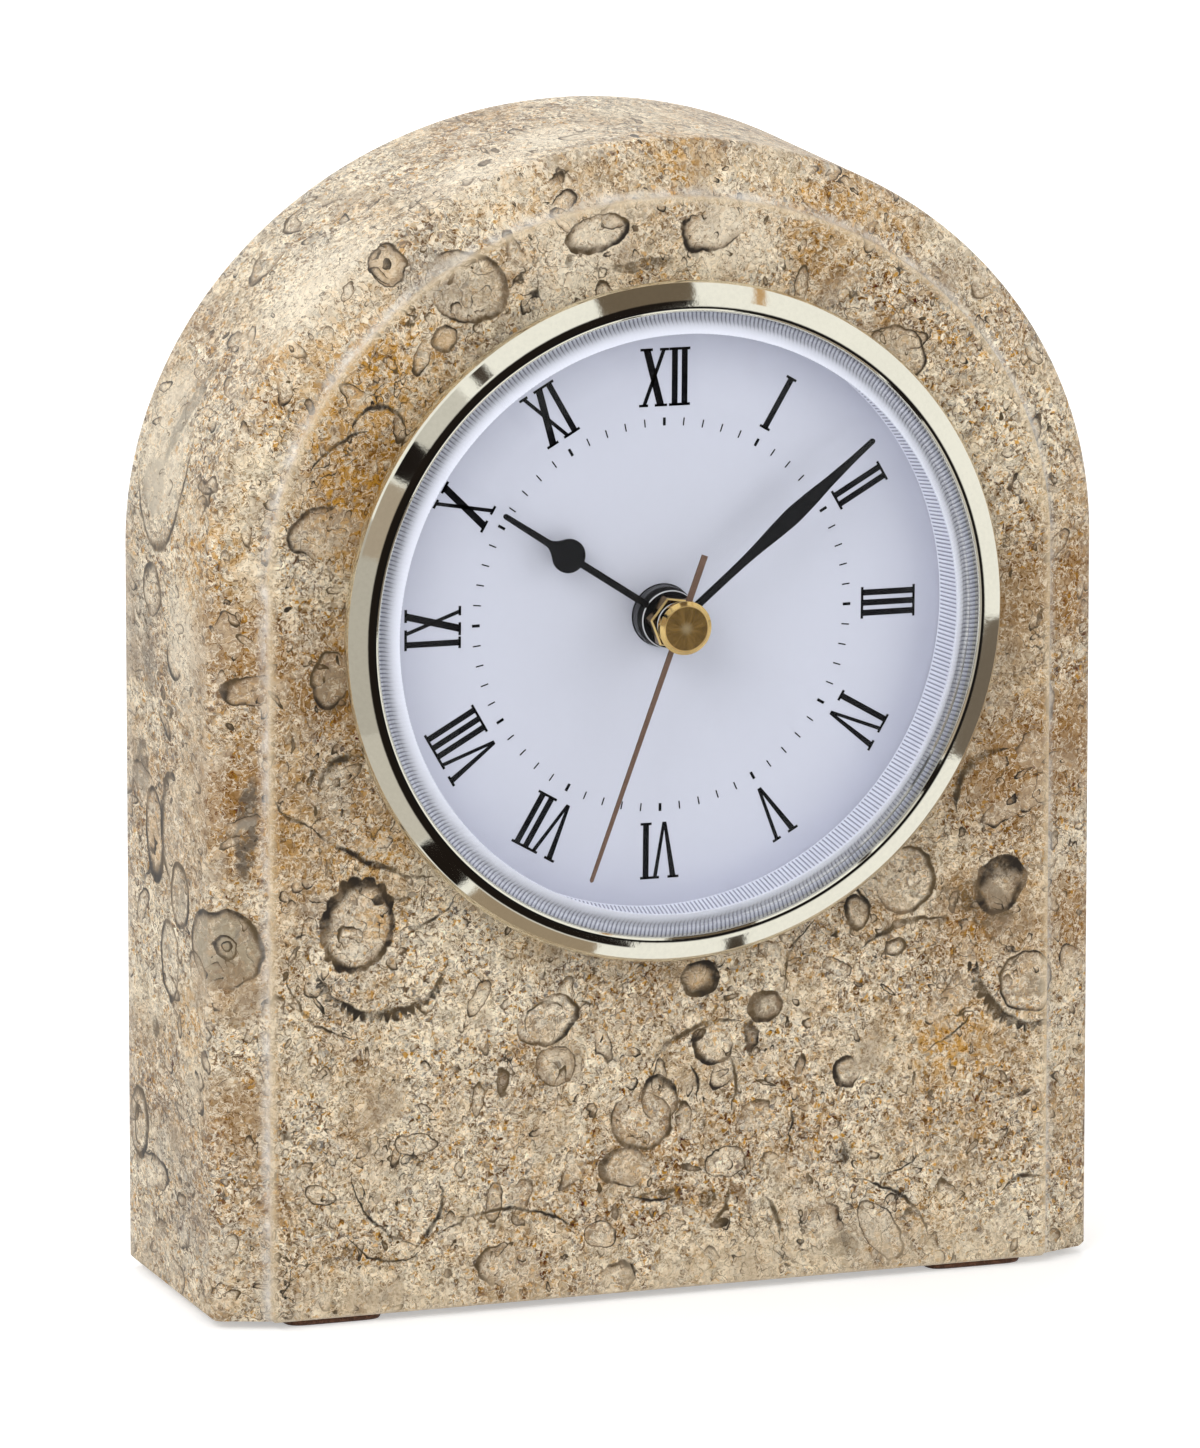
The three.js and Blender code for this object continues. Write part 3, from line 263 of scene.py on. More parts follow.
# shared effect: a fossil cut through, with a wall that swells on one side and a brown band inside it
wallInputs = {"Local": None, "Wall": 0.1, "Even": 0.5, "Lean X": 0.5, "Lean Z": 0.0, "Tooth": 0.0}
shellTree, shellIn, shellOut = newGroup("shellSection", {**wallInputs, "Band": 0.4}, ["Wall", "Band", "Inside"])
reach, strength, wall = shellWall(shellTree, shellIn)
held = ramp(shellTree, strength, 0.0, 0.3)
within = ramp(shellTree, calc(shellTree, "SUBTRACT", reach, shellIn["Tooth"]), 1.03, 0.98)
heldWithin = times(shellTree, held, within)
wallEdge = calc(shellTree, "MULTIPLY_ADD", wall, -0.6, 1)
wallShare = ramp(shellTree, reach, calc(shellTree, "MULTIPLY_ADD", wall, -2.0, 0.985), wallEdge)
bandShare = ramp(shellTree, reach, calc(shellTree, "SUBTRACT", 1, shellIn["Band"]), 1.0)
feed(shellTree, shellOut, {"Wall": times(shellTree, heldWithin, wallShare),
                           "Band": times(shellTree, heldWithin, bandShare), "Inside": within})

# shared effect: a sliver of shell, a thin arc that tapers to both ends
sliverTree, sliverIn, sliverOut = newGroup("shellSliver", wallInputs, ["Wall"])
reach, strength, wall = shellWall(sliverTree, sliverIn)
teeth = times(sliverTree, sliverIn["Tooth"], ramp(sliverTree, strength, 0.1, 0.5))
outer = calc(sliverTree, "MULTIPLY_ADD", wall, 0.5, teeth)
fromArc = calc(sliverTree, "ABSOLUTE", calc(sliverTree, "SUBTRACT", reach, calc(sliverTree, "ADD", outer, 1)))
gap = calc(sliverTree, "SUBTRACT", fromArc, outer)
edge = times(sliverTree, wall, 0.3)
feed(sliverTree, sliverOut, {"Wall": ramp(sliverTree, gap, edge, times(sliverTree, edge, -1))})

# shared effect: many such fossils strewn through the stone, one to a cell; spacing and radius in mm
strewnTree, strewnIn, strewnOut = newGroup(
    "strewnShells", {"Place": None, "Spacing": 8.0, "Radius": 2.0, "Squash": 0.6, "Wall": 0.1, "Band": 0.4, "Even": 0.45,
                     "Share": 0.5}, ["Wall", "Band", "Inside"])
cellScale = calc(strewnTree, "DIVIDE", 1000, strewnIn["Spacing"])
cells = add(strewnTree, "TexVoronoi", {"Vector": strewnIn["Place"], "Scale": cellScale}).outputs
draws = add(strewnTree, "SeparateColor", {0: cells["Color"]}).outputs
offset = vectorCalc(strewnTree, "SUBTRACT", strewnIn["Place"], cells["Position"])
twist = vectorCalc(strewnTree, "MULTIPLY", cells["Color"], (6.28,) * 3)  # up to a turn about each axis
turned = add(strewnTree, "VectorRotate", {"Vector": offset, "Rotation": twist}, rotation_type="EULER_XYZ").outputs[0]
size = times(strewnTree, calc(strewnTree, "MULTIPLY_ADD", draws["Green"], 0.6, 0.4), strewnIn["Radius"])
size = calc(strewnTree, "DIVIDE", 1000, size)
squashed = calc(strewnTree, "DIVIDE", size, strewnIn["Squash"])
stretch = add(strewnTree, "CombineXYZ", {0: size, 1: size, 2: squashed}).outputs[0]
found = place(strewnTree, shellTree, {
    "Local": vectorCalc(strewnTree, "MULTIPLY", turned, stretch), "Wall": strewnIn["Wall"], "Band": strewnIn["Band"],
    "Even": strewnIn["Even"], "Lean X": calc(strewnTree, "SUBTRACT", 1, strewnIn["Even"])})
here = calc(strewnTree, "LESS_THAN", draws["Blue"], strewnIn["Share"])
feed(strewnTree, strewnOut, {key: times(strewnTree, found[key], here) for key in ("Wall", "Band", "Inside")})
print("shader groups made")


# stone

stone = {
    "borderWidth": 7.4, "borderDrop": 3.4, "stepWidth": 0.75, "stepDrop": 1.3, "cornerRound": 1.5,
    "backEase": 1.2, "footEase": 0.45, "edgeEase": 0.3, "springHeight": 96.5,
    "cream": tint(219, 201, 171), "tan": tint(178, 148, 109), "pale": tint(234, 220, 196), "brown": tint(114, 83, 47),
    # the last colour on the next line is a painted highlight along the step
    "ochre": tint(194, 149, 82), "grey": tint(148, 141, 132), "dark": tint(35, 28, 22), "stepHighlight": tint(234, 230, 224),
    "edge": tint(222, 200, 165), "shade": tint(152, 116, 72), "green": tint(126, 116, 92), "olive": tint(86, 69, 44),
    "smoke": tint(92, 83, 72), "roughness": 0.36, "depthShare": 0.6, "borderMiddle": 4,
    "mean": tint(184, 164, 138), "contrast": 1.4, "shine": 0.32, "drift": 1.7, "curl": 1.0, "tie": 1e-6,
    "greyShare": 0.4, "paleShare": 0.55, "shadeShare": 0.66, "rustShare": 0.82, "insideShare": 0.22,
    "edgeShare": 0.55, "stepHighlightShare": 0.7, "layerShift": (0.31, 0.17, 0.23),
}
# strewn fossils: mm between them, radius, squash, wall, band, evenness of the wall and share of the places taken
strewn = [
    (2.1, 0.8, 0.45, 0.34, 0.8, 0.30, 0.62),
    (3.9, 1.8, 0.4, 0.22, 0.6, 0.22, 0.64),
    (6.5, 3.4, 0.36, 0.14, 0.45, 0.12, 0.7),
    (10.0, 5.4, 0.4, 0.10, 0.4, 0.05, 0.7),
    (5.6, 1.7, 0.2, 0.6, 1.0, 0.60, 0.30),
]
# single fossils: face, across and up from the foot's middle in mm, radii, turn, wall, band, hold, heavy side, teeth
shells = [
    ("front", -42.0, 52.3, 4.7, 6.1, 12, 0.17, 0.30, -1.8, 130, 15),
    ("front", -16.0, 37.6, 4.4, 3.2, -28, 0.13, 0.22, -1.2, -60, 0),
    ("front", -14.9, 31.4, 2.8, 2.7, 0, 0.06, 0.60, -3.0, 90, 0),
    ("front", -3.0, 23.0, 4.3, 3.9, 20, 0.10, 0.38, -1.3, -60, 0),
    ("front", -0.6, 25.8, 2.7, 3.2, -20, 0.16, 0.45, -1.3, 60, 0),
    ("front", 5.1, 41.6, 2.7, 2.6, 0, 0.50, 0.85, -1.5, -20, 0),
    ("front", 14.1, 37.3, 2.5, 2.2, 0, 0.50, 0.90, -1.6, 150, 0),
    ("front", 25.4, 27.2, 1.9, 2.2, 0, 0.40, 0.85, -1.2, 200, 0),
    ("front", -34.3, 22.4, 3.1, 1.6, 3, 0.06, 0.20, -4.0, 90, 0),
    ("front", 33.6, 52.6, 4.2, 4.6, 0, 0.14, 0.25, -1.2, -10, 0),
    ("front", 47.0, 51.0, 3.4, 4.2, 35, 0.55, 1.0, -1.5, 120, 0),
    ("front", 51.0, 37.6, 4.0, 4.2, 0, 0.07, 0.20, -1.8, 180, 0),
    ("front", -9.2, 141.2, 4.6, 2.4, -12, 0.22, 0.45, -1.5, -90, 0),
    ("front", -45.7, 85.0, 2.6, 3.8, 0, 0.16, 0.40, -1.2, 200, 0),
    ("front", 31.9, 123.0, 4.6, 3.6, 25, 0.06, 0.22, -2.3, 20, 0),
    ("border", -59.0, 49.6, 5.0, 5.3, 0, 0.12, 0.30, -1.15, 55, 0),
    ("border", -59.0, 49.9, 1.6, 1.7, 0, 0.22, 0.30, -2.5, 200, 0),
    ("border", -58.9, 50.0, 0.8, 0.8, 0, 0.40, 0.30, -2.0, 20, 0),
    ("front", -37.0, 138.6, 2.9, 3.4, 0, 0.07, 0.40, -1.6, 80, 0),
    ("front", -36.9, 138.5, 0.8, 0.8, 0, 0.50, 0.30, -3.0, 80, 0),
    ("front", -49.5, 134.1, 3.3, 3.0, 20, 0.07, 0.35, -1.5, 200, 0),
    ("front", -26.8, 135.2, 5.8, 4.6, 20, 0.12, 0.30, -1.1, 10, 0),
    ("front", -29.9, 128.7, 1.9, 1.9, 0, 0.25, 0.50, -2.0, 200, 0),
    ("front", 6.8, 32.5, 2.8, 2.8, 0, 0.18, 0.30, -1.15, 225, 0),
    ("front", -5.5, 17.0, 3.4, 2.7, 0, 0.20, 0.35, -1.1, 160, 0),
    ("front", 8.7, 16.5, 3.0, 2.1, -10, 0.07, 0.20, -3.0, 90, 0),
    ("front", 26.9, 48.7, 1.8, 2.5, -10, 0.30, 0.60, -2.5, 180, 0),
    ("front", 32.4, 43.7, 1.5, 1.4, 0, 0.40, 0.70, -3.0, 0, 0),
    ("front", -8.8, 8.1, 2.3, 1.9, 10, 0.10, 0.20, -2.5, 40, 0),
    ("front", 30.4, 5.5, 2.4, 4.6, -35, 0.05, 0.15, -2.5, 0, 0),
    ("front", -47.3, 16.7, 2.2, 1.4, 15, 0.10, 0.25, -2.5, 250, 0),
    ("side", 12.5, 60.0, 3.9, 6.4, 8, 0.24, 0.45, -1.8, -90, 0),
    ("side", 1.9, 54.2, 4.0, 4.6, -4, 0.18, 0.35, -4.0, 100, 0),
    ("side", 6.4, 44.6, 3.9, 5.4, 6, 0.15, 0.25, -1.6, 0, 0),
    ("side", 20.1, 19.6, 3.9, 4.9, 0, 0.20, 0.40, -1.5, 180, 0),
    ("side", 20.4, 19.2, 2.0, 2.7, 0, 0.22, 0.30, -0.9, 20, 0),
    ("side", 5.1, 62.5, 4.8, 7.5, 0, 0.20, 0.15, -0.2, 20, 0),
    ("side", 13.1, 92.6, 4.0, 3.6, 0, 0.20, 0.40, -1.5, 90, 0),
    ("side", 13.0, 111.0, 9.5, 13.0, 16, 0.05, 0.10, -0.1, -95, 0),
    ("side", 4.0, 85.0, 3.0, 2.6, 0, 0.22, 0.60, -0.4, -60, 0),
]
# slivers on the front: centre across and up, radius, thickness, first and last bearing, teeth to a turn
slivers = [
    (-38.6, 50.3, 9.7, 0.8, -157, -26, 60), (-40.4, 48.6, 11.5, 0.35, -172, -95, 0), (8.8, 22.7, 12.8, 0.75, 145, 82, 0),
    (-22.1, -4.1, 16.6, 0.5, 121, 52, 0), (24.7, -0.5, 13.3, 0.5, 82, 20, 0), (-30.7, 21.5, 12.8, 0.4, -168, -102, 0),
    (-42.1, 16.7, 11.3, 0.6, 2, -48, 0), (-37.3, 13.9, 6.9, 0.3, -155, -55, 0), (54.3, 42.4, 10.6, 1.0, -172, -94, 62),
    (48.1, 61.6, 7.3, 1.1, 180, 92, 0), (-38.6, 104.7, 12.4, 0.7, 140, 100, 0), (-16.2, 37.2, 2.9, 0.4, 40, 190, 0),
    (0.4, 26.5, 9.4, 0.5, 35, -20, 0), (20.0, 46.0, 9.0, 0.4, 10, 60, 0), (15.0, 70.0, 46.0, 0.35, -62, -52, 0),
    (-41.6, 68.4, 6.0, 1.2, 158, 84, 0), (-22.6, 98.8, 42.0, 0.8, -127, -103, 0), (-45.1, 72.0, 23.6, 0.5, -46, -66, 0),
    (-28.1, 96.0, 36.6, 0.5, -134, -123, 0), (37.1, 29.5, 17.4, 0.8, 123, 84, 0), (30.8, 20.6, 7.3, 0.25, -98, -32, 0),
    (3.6, 12.4, 5.2, 0.7, 3, -57, 0), (2.8, 4.3, 13.5, 0.7, 31, 6, 0), (13.7, 22.7, 4.4, 0.5, 1, -36, 0),
    (-10.8, 25.0, 15.4, 0.5, 19, 2, 0), (27.1, 39.9, 10.1, 0.35, 126, 186, 0), (51.3, 5.9, 5.1, 0.6, 135, 61, 0),
    (-38.8, 116.6, 3.5, 0.8, 165, 20, 0), (-0.3, 24.3, 11.9, 0.5, -110, -83, 0),
]
# filled fossils: face, across and up, radii, turn, colour and strength
fills = [
    ("border", -59.0, 49.6, 5.0, 5.3, 0, "green", 0.75), ("border", -56.7, 51.6, 1.6, 1.6, 0, "smoke", 0.8),
    ("border", -56.4, 65.6, 1.5, 7.4, 4, "smoke", 0.85), ("front", 44.9, 48.4, 5.0, 3.4, 35, "olive", 0.75),
    ("front", 14.1, 37.3, 2.6, 2.2, 0, "olive", 0.85), ("front", 5.1, 41.6, 2.0, 2.0, 0, "ochre", 0.5),
    ("front", 25.3, 3.9, 2.2, 1.8, 20, "olive", 0.6), ("front", -46.5, 141.4, 4.6, 1.4, 48, "smoke", 0.5),
    ("front", -49.5, 134.1, 3.1, 2.9, 20, "ochre", 0.35), ("front", -37.0, 138.6, 2.9, 3.2, 0, "ochre", 0.4),
    ("front", -26.8, 135.2, 5.6, 4.4, 20, "olive", 0.3), ("front", -29.9, 128.7, 1.8, 1.8, 0, "ochre", 0.5),
    ("front", -14.9, 31.4, 0.6, 0.7, 0, "dark", 0.9), ("front", 25.4, 16.4, 1.2, 1.5, 20, "dark", 0.8),
    ("front", 6.0, 11.9, 1.2, 1.5, 20, "olive", 0.9), ("front", 11.0, 11.4, 3.4, 1.1, 55, "brown", 0.6),
    ("front", -0.9, 13.1, 2.8, 0.45, -4, "olive", 0.9), ("front", -3.3, 136.8, 5.0, 0.9, -4, "olive", 0.8),
    ("front", 52.3, 36.8, 1.4, 1.4, 0, "olive", 0.8), ("front", -45.7, 83.7, 2.4, 3.6, 0, "olive", 0.45),
    ("side", 5.7, 77.8, 1.4, 1.1, 0, "olive", 0.9), ("side", 15.0, 106.1, 4.5, 4.0, 0, "smoke", 0.75),
    ("side", 17.6, 68.3, 3.0, 4.2, 0, "smoke", 0.7), ("side", 12.7, 34.1, 1.8, 1.7, 0, "olive", 0.8),
    ("side", 12.5, 58.5, 2.4, 4.6, 8, "ochre", 0.5), ("side", 13.5, 112.0, 8.0, 11.0, 16, "pale", 0.5),
    ("side", 9.5, 117.0, 1.8, 9.0, -24, "smoke", 0.7), ("side", 1.9, 54.2, 2.6, 3.2, -4, "smoke", 0.35),
    ("side", 21.0, 66.0, 1.6, 4.0, 0, "smoke", 0.6), ("side", 15.0, 84.0, 2.6, 7.0, 0, "smoke", 0.35),
]
# pale zones, brown shades and rusty patches: across, depth and up in mm, and how far they spread. The brown shades at
# the bezel's right and left are painted shade beside it; the rest darken both borders and the panel's lower right
paleZones = [(-46, 9, 136, 17), (-22, 9, 147, 12), (-10, 14, 152, 10), (-60, 14, 88, 12), (-12, 0, 139, 12), (10, 0, 140, 10)]
shades = [(47, 0, 66, 17), (46, 0, 88, 15), (-41, 0, 108, 14), (-45, 0, 84, 12), (-58, 3, 70, 13), (44, 0, 46, 10),
          (-58, 3, 90, 12), (-58, 3, 48, 11), (58, 3, 90, 13), (58, 3, 68, 13), (58, 3, 46, 12), (-58, 3, 28, 9)]
rust = [(-39, 0, 124, 14), (-42, 0, 108, 12), (-39, 0, 53, 5), (-57, 10, 100, 12), (3, 6, 149, 8), (-52, 4, 128, 7),
        (40, 0, 30, 9), (-39, 0, 62, 6), (-60, 6, 102, 8), (-45, 0, 118, 8), (-60, 12, 38, 8)]


def stoneMaterial():
    material, tree, shader = newMaterial("fossilStone", **{"Specular IOR Level": stone["shine"]})
    plain = objectPlace(tree)

    def noise(where, scale, detail, rough=0.5):
        return add(tree, "TexNoise", {"Vector": where, "Scale": scale, "Detail": detail, "Roughness": rough}).outputs

    def moved(where, by, reach):
        # places moved by a value or a vector times a reach in mm
        return vectorCalc(tree, "MULTIPLY_ADD", by, (reach * mm,) * 3, where)

    # grains and strewn fossils lie in a space drawn out in depth; bent keeps the true places of single fossils
    drawn = vectorCalc(tree, "MULTIPLY", plain, (1, stone["depthShare"], 1))
    drift = vectorCalc(tree, "SUBTRACT", noise(drawn, 420, 4)["Color"], (0.5, 0.5, 0.5))
    bent = moved(plain, drift, stone["drift"])
    bentDrawn = moved(drawn, drift, stone["drift"])
    curl = vectorCalc(tree, "SUBTRACT", noise(drawn, 1500, 1)["Color"], (0.5, 0.5, 0.5))
    curled = moved(bentDrawn, curl, stone["curl"])

    # matrix: cream and tan clouds, curled grains of several colours, and fine brown and pale squiggles
    cloud = noise(drawn, 62, 6, 0.68)[0]
    middle = noise(bentDrawn, 520, 3, 0.6)[0]
    grains = add(tree, "TexVoronoi", {"Vector": curled, "Scale": 2500})
    picks = add(tree, "SeparateColor", {0: grains.outputs["Color"]}).outputs
    colour = mixed(tree, ramp(tree, cloud, 0.36, 0.62), stone["tan"], stone["cream"])
    lively = ramp(tree, noise(drawn, 110, 3)[0], 0.66, 0.42)  # smooth pale zones have fewer grains
    for share, low, high, amount, key in (
            (middle, 0.42, 0.7, 0.5, "pale"), (middle, 0.47, 0.3, 0.5, "brown"), (picks["Red"], 0.5, 0.95, 0.8, "pale"),
            (picks["Green"], 0.62, 0.95, 0.8, "brown"), (picks["Blue"], 0.72, 1.0, 0.65, "grey"),
            (picks["Red"], 0.12, 0.03, 0.9, "ochre")):
        chosen = ramp(tree, share, low, high)
        grainShare = times(tree, chosen, calc(tree, "MULTIPLY_ADD", lively, amount * 0.6, amount * 0.4))
        colour = mixed(tree, grainShare, colour, stone[key])
    patchy = ramp(tree, noise(curled, 560, 5, 0.72)[0], 0.34, 0.66)
    colour = mixed(tree, 1.0, colour, calc(tree, "MULTIPLY_ADD", patchy, 0.48, 0.73), "MULTIPLY")
    greyCloud = noise(bentDrawn, 45, 4, 0.6)[0]
    colour = mixed(tree, times(tree, ramp(tree, greyCloud, 0.56, 0.72), stone["greyShare"]), colour, stone["grey"])

    def nearTo(patch, full):
        across, deep, up, spread = patch
        at = Vector((across, dialCentre[1] + deep, boxOf("stone_body")[0][2] + up)) * mm
        return ramp(tree, vectorCalc(tree, "DISTANCE", bent, tuple(at)), spread * mm, spread * mm * full)

    rustShare = times(tree, ramp(tree, noise(plain, 40, 3)[0], 0.58, 0.76), 0.6)
    for patch in rust:
        rustShare = calc(tree, "MAXIMUM", rustShare, nearTo(patch, 0.2))
    for patch in paleZones:
        colour = mixed(tree, times(tree, nearTo(patch, 0.2), stone["paleShare"]), colour, stone["pale"])
    # brown shades: painted shade beside the bezel, and darker brown along both borders
    for patch in shades:
        colour = mixed(tree, times(tree, nearTo(patch, 0), stone["shadeShare"]), colour, stone["shade"])
    rustGrain = ramp(tree, noise(curled, 900, 2)[0], 0.4, 0.62)
    rustShare = times(tree, times(tree, rustShare, rustGrain), stone["rustShare"])
    colour = mixed(tree, rustShare, colour, stone["ochre"])
    for scale, amount, key in ((1150, 0.75, "brown"), (800, 0.65, "pale")):
        squiggle = calc(tree, "ABSOLUTE", calc(tree, "SUBTRACT", noise(curled, scale, 2)[0], 0.5))
        colour = mixed(tree, times(tree, ramp(tree, squiggle, 0.035, 0.0), amount), colour, stone[key])
    # the matrix is drawn away from its mean colour
    drawnOut = {0: stone["contrast"], 6: stone["mean"], 7: colour}
    colour = add(tree, "Mix", drawnOut, data_type="RGBA", clamp_factor=False, clamp_result=True).outputs[2]

    thread = calc(tree, "ABSOLUTE", calc(tree, "SUBTRACT", noise(bentDrawn, 230, 1)[0], 0.5))
    threadShare = times(tree, ramp(tree, thread, 0.008, 0.001), ramp(tree, greyCloud, 0.42, 0.6))
    smudge = times(tree, ramp(tree, noise(bentDrawn, 115, 4)[0], 0.58, 0.72), 0.65)

    # fossils gathered as they come into one mask each for their walls, bands and insides
    masks = {"Wall": threadShare, "Band": smudge, "Inside": smudge}

    def gather(shell):
        for key in shell.keys():
            masks[key] = calc(tree, "MAXIMUM", masks[key], shell[key])

    foot, where = boxOf("stone_body")[0], bent

    def settle(face, across, up, wide, high, turn=0):
        # a fossil's own coordinates: its middle at 0 and its outline at 1
        front = face != "side"
        deep = dialCentre[1] + (stone["borderMiddle"] if face == "border" else 0)
        at = (across, deep, foot[2] + up) if front else (foot[0], across, foot[2] + up)
        return add(tree, "Mapping", {
            "Vector": where, "Location": Vector(at) * mm, "Scale": (wide * mm, max(wide, high, 3) * 1.5 * mm, high * mm),
            "Rotation": (0, math.radians(turn), 0 if front else math.radians(90))}, vector_type="TEXTURE").outputs[0]

    def leaning(hold, heavy):
        # the wall's strength round the ring: 1 on the heavy side, 0 where the bearing's cosine falls to hold
        gain, side = 1 / (1 - hold), math.radians(heavy)
        return {"Even": -hold * gain, "Lean X": gain * math.cos(side), "Lean Z": gain * math.sin(side)}

    def toothed(local, teeth, depth):
        spread = add(tree, "SeparateXYZ", {0: local}).outputs
        bearing = times(tree, calc(tree, "ARCTAN2", spread["Z"], spread["X"]), teeth / 2)
        return times(tree, calc(tree, "ABSOLUTE", calc(tree, "SINE", bearing)), depth)

    for index, (face, across, up, wide, high, turn, wall, band, hold, heavy, teeth) in enumerate(shells):
        if index % 4 == 3:  # tied to those before it by a hair's shift, so that the shader works them out in turn
            where = moved(bent, masks["Inside"], stone["tie"])
        local = settle(face, across, up, wide, high, turn)
        values = {"Local": local, "Wall": wall, "Band": band, **leaning(hold, heavy)}
        if teeth:
            values["Tooth"] = toothed(local, teeth, 0.5 / wide)
        gather(place(tree, shellTree, values))
    for index, (across, up, radius, thick, first, last, teeth) in enumerate(slivers):
        if index % 4 == 0:
            where = moved(bent, masks["Wall"], stone["tie"])
        local = settle("front", across, up, radius, radius)
        half = math.radians(abs(last - first) / 2 * 1.1)
        values = {"Local": local, "Wall": thick / radius, **leaning(math.cos(half), (first + last) / 2)}
        if teeth:
            values["Tooth"] = toothed(local, teeth, 0.45 / radius)
        gather(place(tree, sliverTree, values))
    where = moved(bent, masks["Wall"], stone["tie"])
    grainy = calc(tree, "MULTIPLY_ADD", ramp(tree, noise(curled, 620, 3, 0.7)[0], 0.36, 0.56), 0.75, 0.25)
    for *spot, key, amount in fills:
        filled = times(tree, ramp(tree, vectorCalc(tree, "LENGTH", settle(*spot)), 1.05, 0.75), amount)
        colour = mixed(tree, times(tree, filled, grainy), colour, stone[key])
    for index, (spacing, radius, squash, wall, band, even, share) in enumerate(strewn):
        where = moved(bentDrawn, masks["Inside"], stone["tie"])
        shifted = vectorCalc(tree, "ADD", where, tuple(index * far for far in stone["layerShift"]))
        gather(place(tree, strewnTree, {
            "Place": shifted, "Spacing": spacing, "Radius": radius, "Squash": squash, "Wall": wall, "Band": band,
            "Even": even, "Share": share}))
    walls, bands, insides = masks.values()
    colour = mixed(tree, times(tree, insides, stone["insideShare"]), colour, stone["pale"])
    colour = mixed(tree, times(tree, bands, calc(tree, "MULTIPLY_ADD", middle, 0.9, 0.15)), colour, stone["brown"])
    ink = mixed(tree, ramp(tree, noise(plain, 170, 2)[0], 0.4, 0.6), stone["dark"], stone["olive"])
    broken = ramp(tree, noise(bent, 290, 4, 0.65)[0], 0.34, 0.56)
    colour = mixed(tree, times(tree, walls, calc(tree, "MULTIPLY_ADD", broken, 0.58, 0.4)), colour, ink)

    # a painted highlight along the step, broken up by noise; creamy at the panel's edge
    stepHighlightMark, edge = ownMark(tree, "stepHighlightMark"), ownMark(tree, "edge")
    colour = mixed(tree, times(tree, edge, stone["edgeShare"]), colour, stone["edge"])
    paintedHighlight = times(tree, ramp(tree, noise(plain, 330, 5, 0.7)[0], 0.25, 0.75), stone["stepHighlightShare"])
    feed(tree, shader, {
        "Base Color": mixed(tree, times(tree, stepHighlightMark, paintedHighlight), colour, stone["stepHighlight"]),
        "Roughness": calc(tree, "MULTIPLY_ADD", middle, 0.2, stone["roughness"] - 0.1),
        "Normal": bumped(tree, middle, 0.1, 0.2)})
    return material


def buildStone():
    # an arch outline carried through the border's section, a ruled panel in front and behind, and the bore's wall
    low, high = boxOf("stone_body")
    half, height, depth = high[0], high[2] - low[2], high[1] - low[1]
    spring, bore = stone["springHeight"], radiusOf("grip_gasket")
    rise = height - spring
    ease, foot = stone["edgeEase"], stone["footEase"]
    border, step, drop = stone["borderWidth"], stone["stepWidth"], stone["stepDrop"]
    corner, cornerEnd = stone["cornerRound"], stone["stepDrop"] + stone["borderDrop"]
    back, slope = stone["backEase"], np.r_[0, 0.1, np.linspace(0, 1, 7)[1:-1]]

    # the section as [inset, depth, lift of the foot, painted highlight on the step, edge], from inside the panel's edge
    # to the back
    runs = [
        (np.array([[border + 0.9, 0]]), foot, 0, 0),
        (arcOf((border, ease), (-ease, -ease), 90, 0, 4), np.linspace(foot, 0, 4), np.linspace(0.1, 0.6, 4), 1),
        (arcOf((border - step, ease), (step - ease, drop - ease), 10, 80, 5), 0, np.array([0.8, 1, 1, 1, 0.9]),
         np.array([1, 0.5, 0, 0, 0])),
        (np.c_[border - step + (corner - border + step) * slope, drop + (cornerEnd - corner - drop) * slope], 0,
         np.r_[0.95, 0.35, 0.05, np.zeros(4)], 0),
        (arcOf((corner, cornerEnd), (-corner, -corner), 90, 0, 7), 0, 0.12, 0),
        (np.c_[np.zeros(9), np.linspace(cornerEnd, depth - back, 11)[1:-1]], 0, 0, 0),
        (arcOf((back, depth - back), (-back, back), 0, 90, 5), np.array([0, 0, 0, 0.5, 1]) * foot, 0.15, 0),
    ]
    rows = [np.c_[run, np.stack(np.broadcast_arrays(lift, stepHighlightMark, edge, run[:, 0])[:3], -1)] for run, lift, stepHighlightMark, edge in runs]
    inset, deep, lift, stepHighlightMark, edge = np.concatenate(rows).T

    # round the outline: the foot, the left side, the arch and the right side
    footRun, sideRun = np.linspace(1, -1, 33)[:, None], np.linspace(0, 1, 25)[:, None]
    archRun = np.linspace(0, np.pi, 97)[1:-1, None]
    wide, tall = half - inset[None], rise - inset[None]
    footX, footZ = (wide - foot) * footRun, lift + 0 * footRun
    sideZ = (lift + foot) * (1 - sideRun) + spring * sideRun
    archX, archZ = -wide * np.cos(archRun), spring + tall * np.sin(archRun)
    x = np.concatenate([footX, -wide + 0 * sideRun, archX, wide + 0 * sideRun])
    z = np.concatenate([footZ, sideZ, archZ, sideZ[::-1]])
    outline = np.stack(np.broadcast_arrays(x, deep + 0 * x, z), -1)

    # rings between the bore and the panel's edge, in front and behind
    centreZ = dialCentre[2] - low[2]
    angle = np.arctan2(outline[:, 0, 2] - centreZ, outline[:, 0, 0])
    circle = np.stack([bore * np.cos(angle), 0 * angle, centreZ + bore * np.sin(angle)], -1)[:, None]
    share = np.linspace(0, 1, 8)[:-1, None]
    frontPanel = circle * (1 - share) + outline[:, :1] * share
    backFace = (circle + [0, depth, 0]) * share + outline[:, -1:] * (1 - share)
    boreWall = circle + np.linspace([0, depth, 0], [0, 0, 0], 10)[:-1]
    points = np.concatenate([frontPanel, outline, backFace[:, 1:], boreWall], 1)
    before = frontPanel.shape[1]
    after = points.shape[1] - before - len(stepHighlightMark)
    marks = {key: np.broadcast_to(np.r_[np.zeros(before), values, np.zeros(after)], points.shape[:2])
             for key, values in (("stepHighlightMark", stepHighlightMark), ("edge", edge))}
    points = points + [0, low[1], low[2]]
    faces = gridFaces(*points.shape[:2], True, True)
    newPiece("stone_block", [(points, faces)], "clock_body", stoneMaterial(), ["stone_body"], sharp=38, marks=marks)


buildStone()
print("stone made")


# plain finishes, each with its own grain

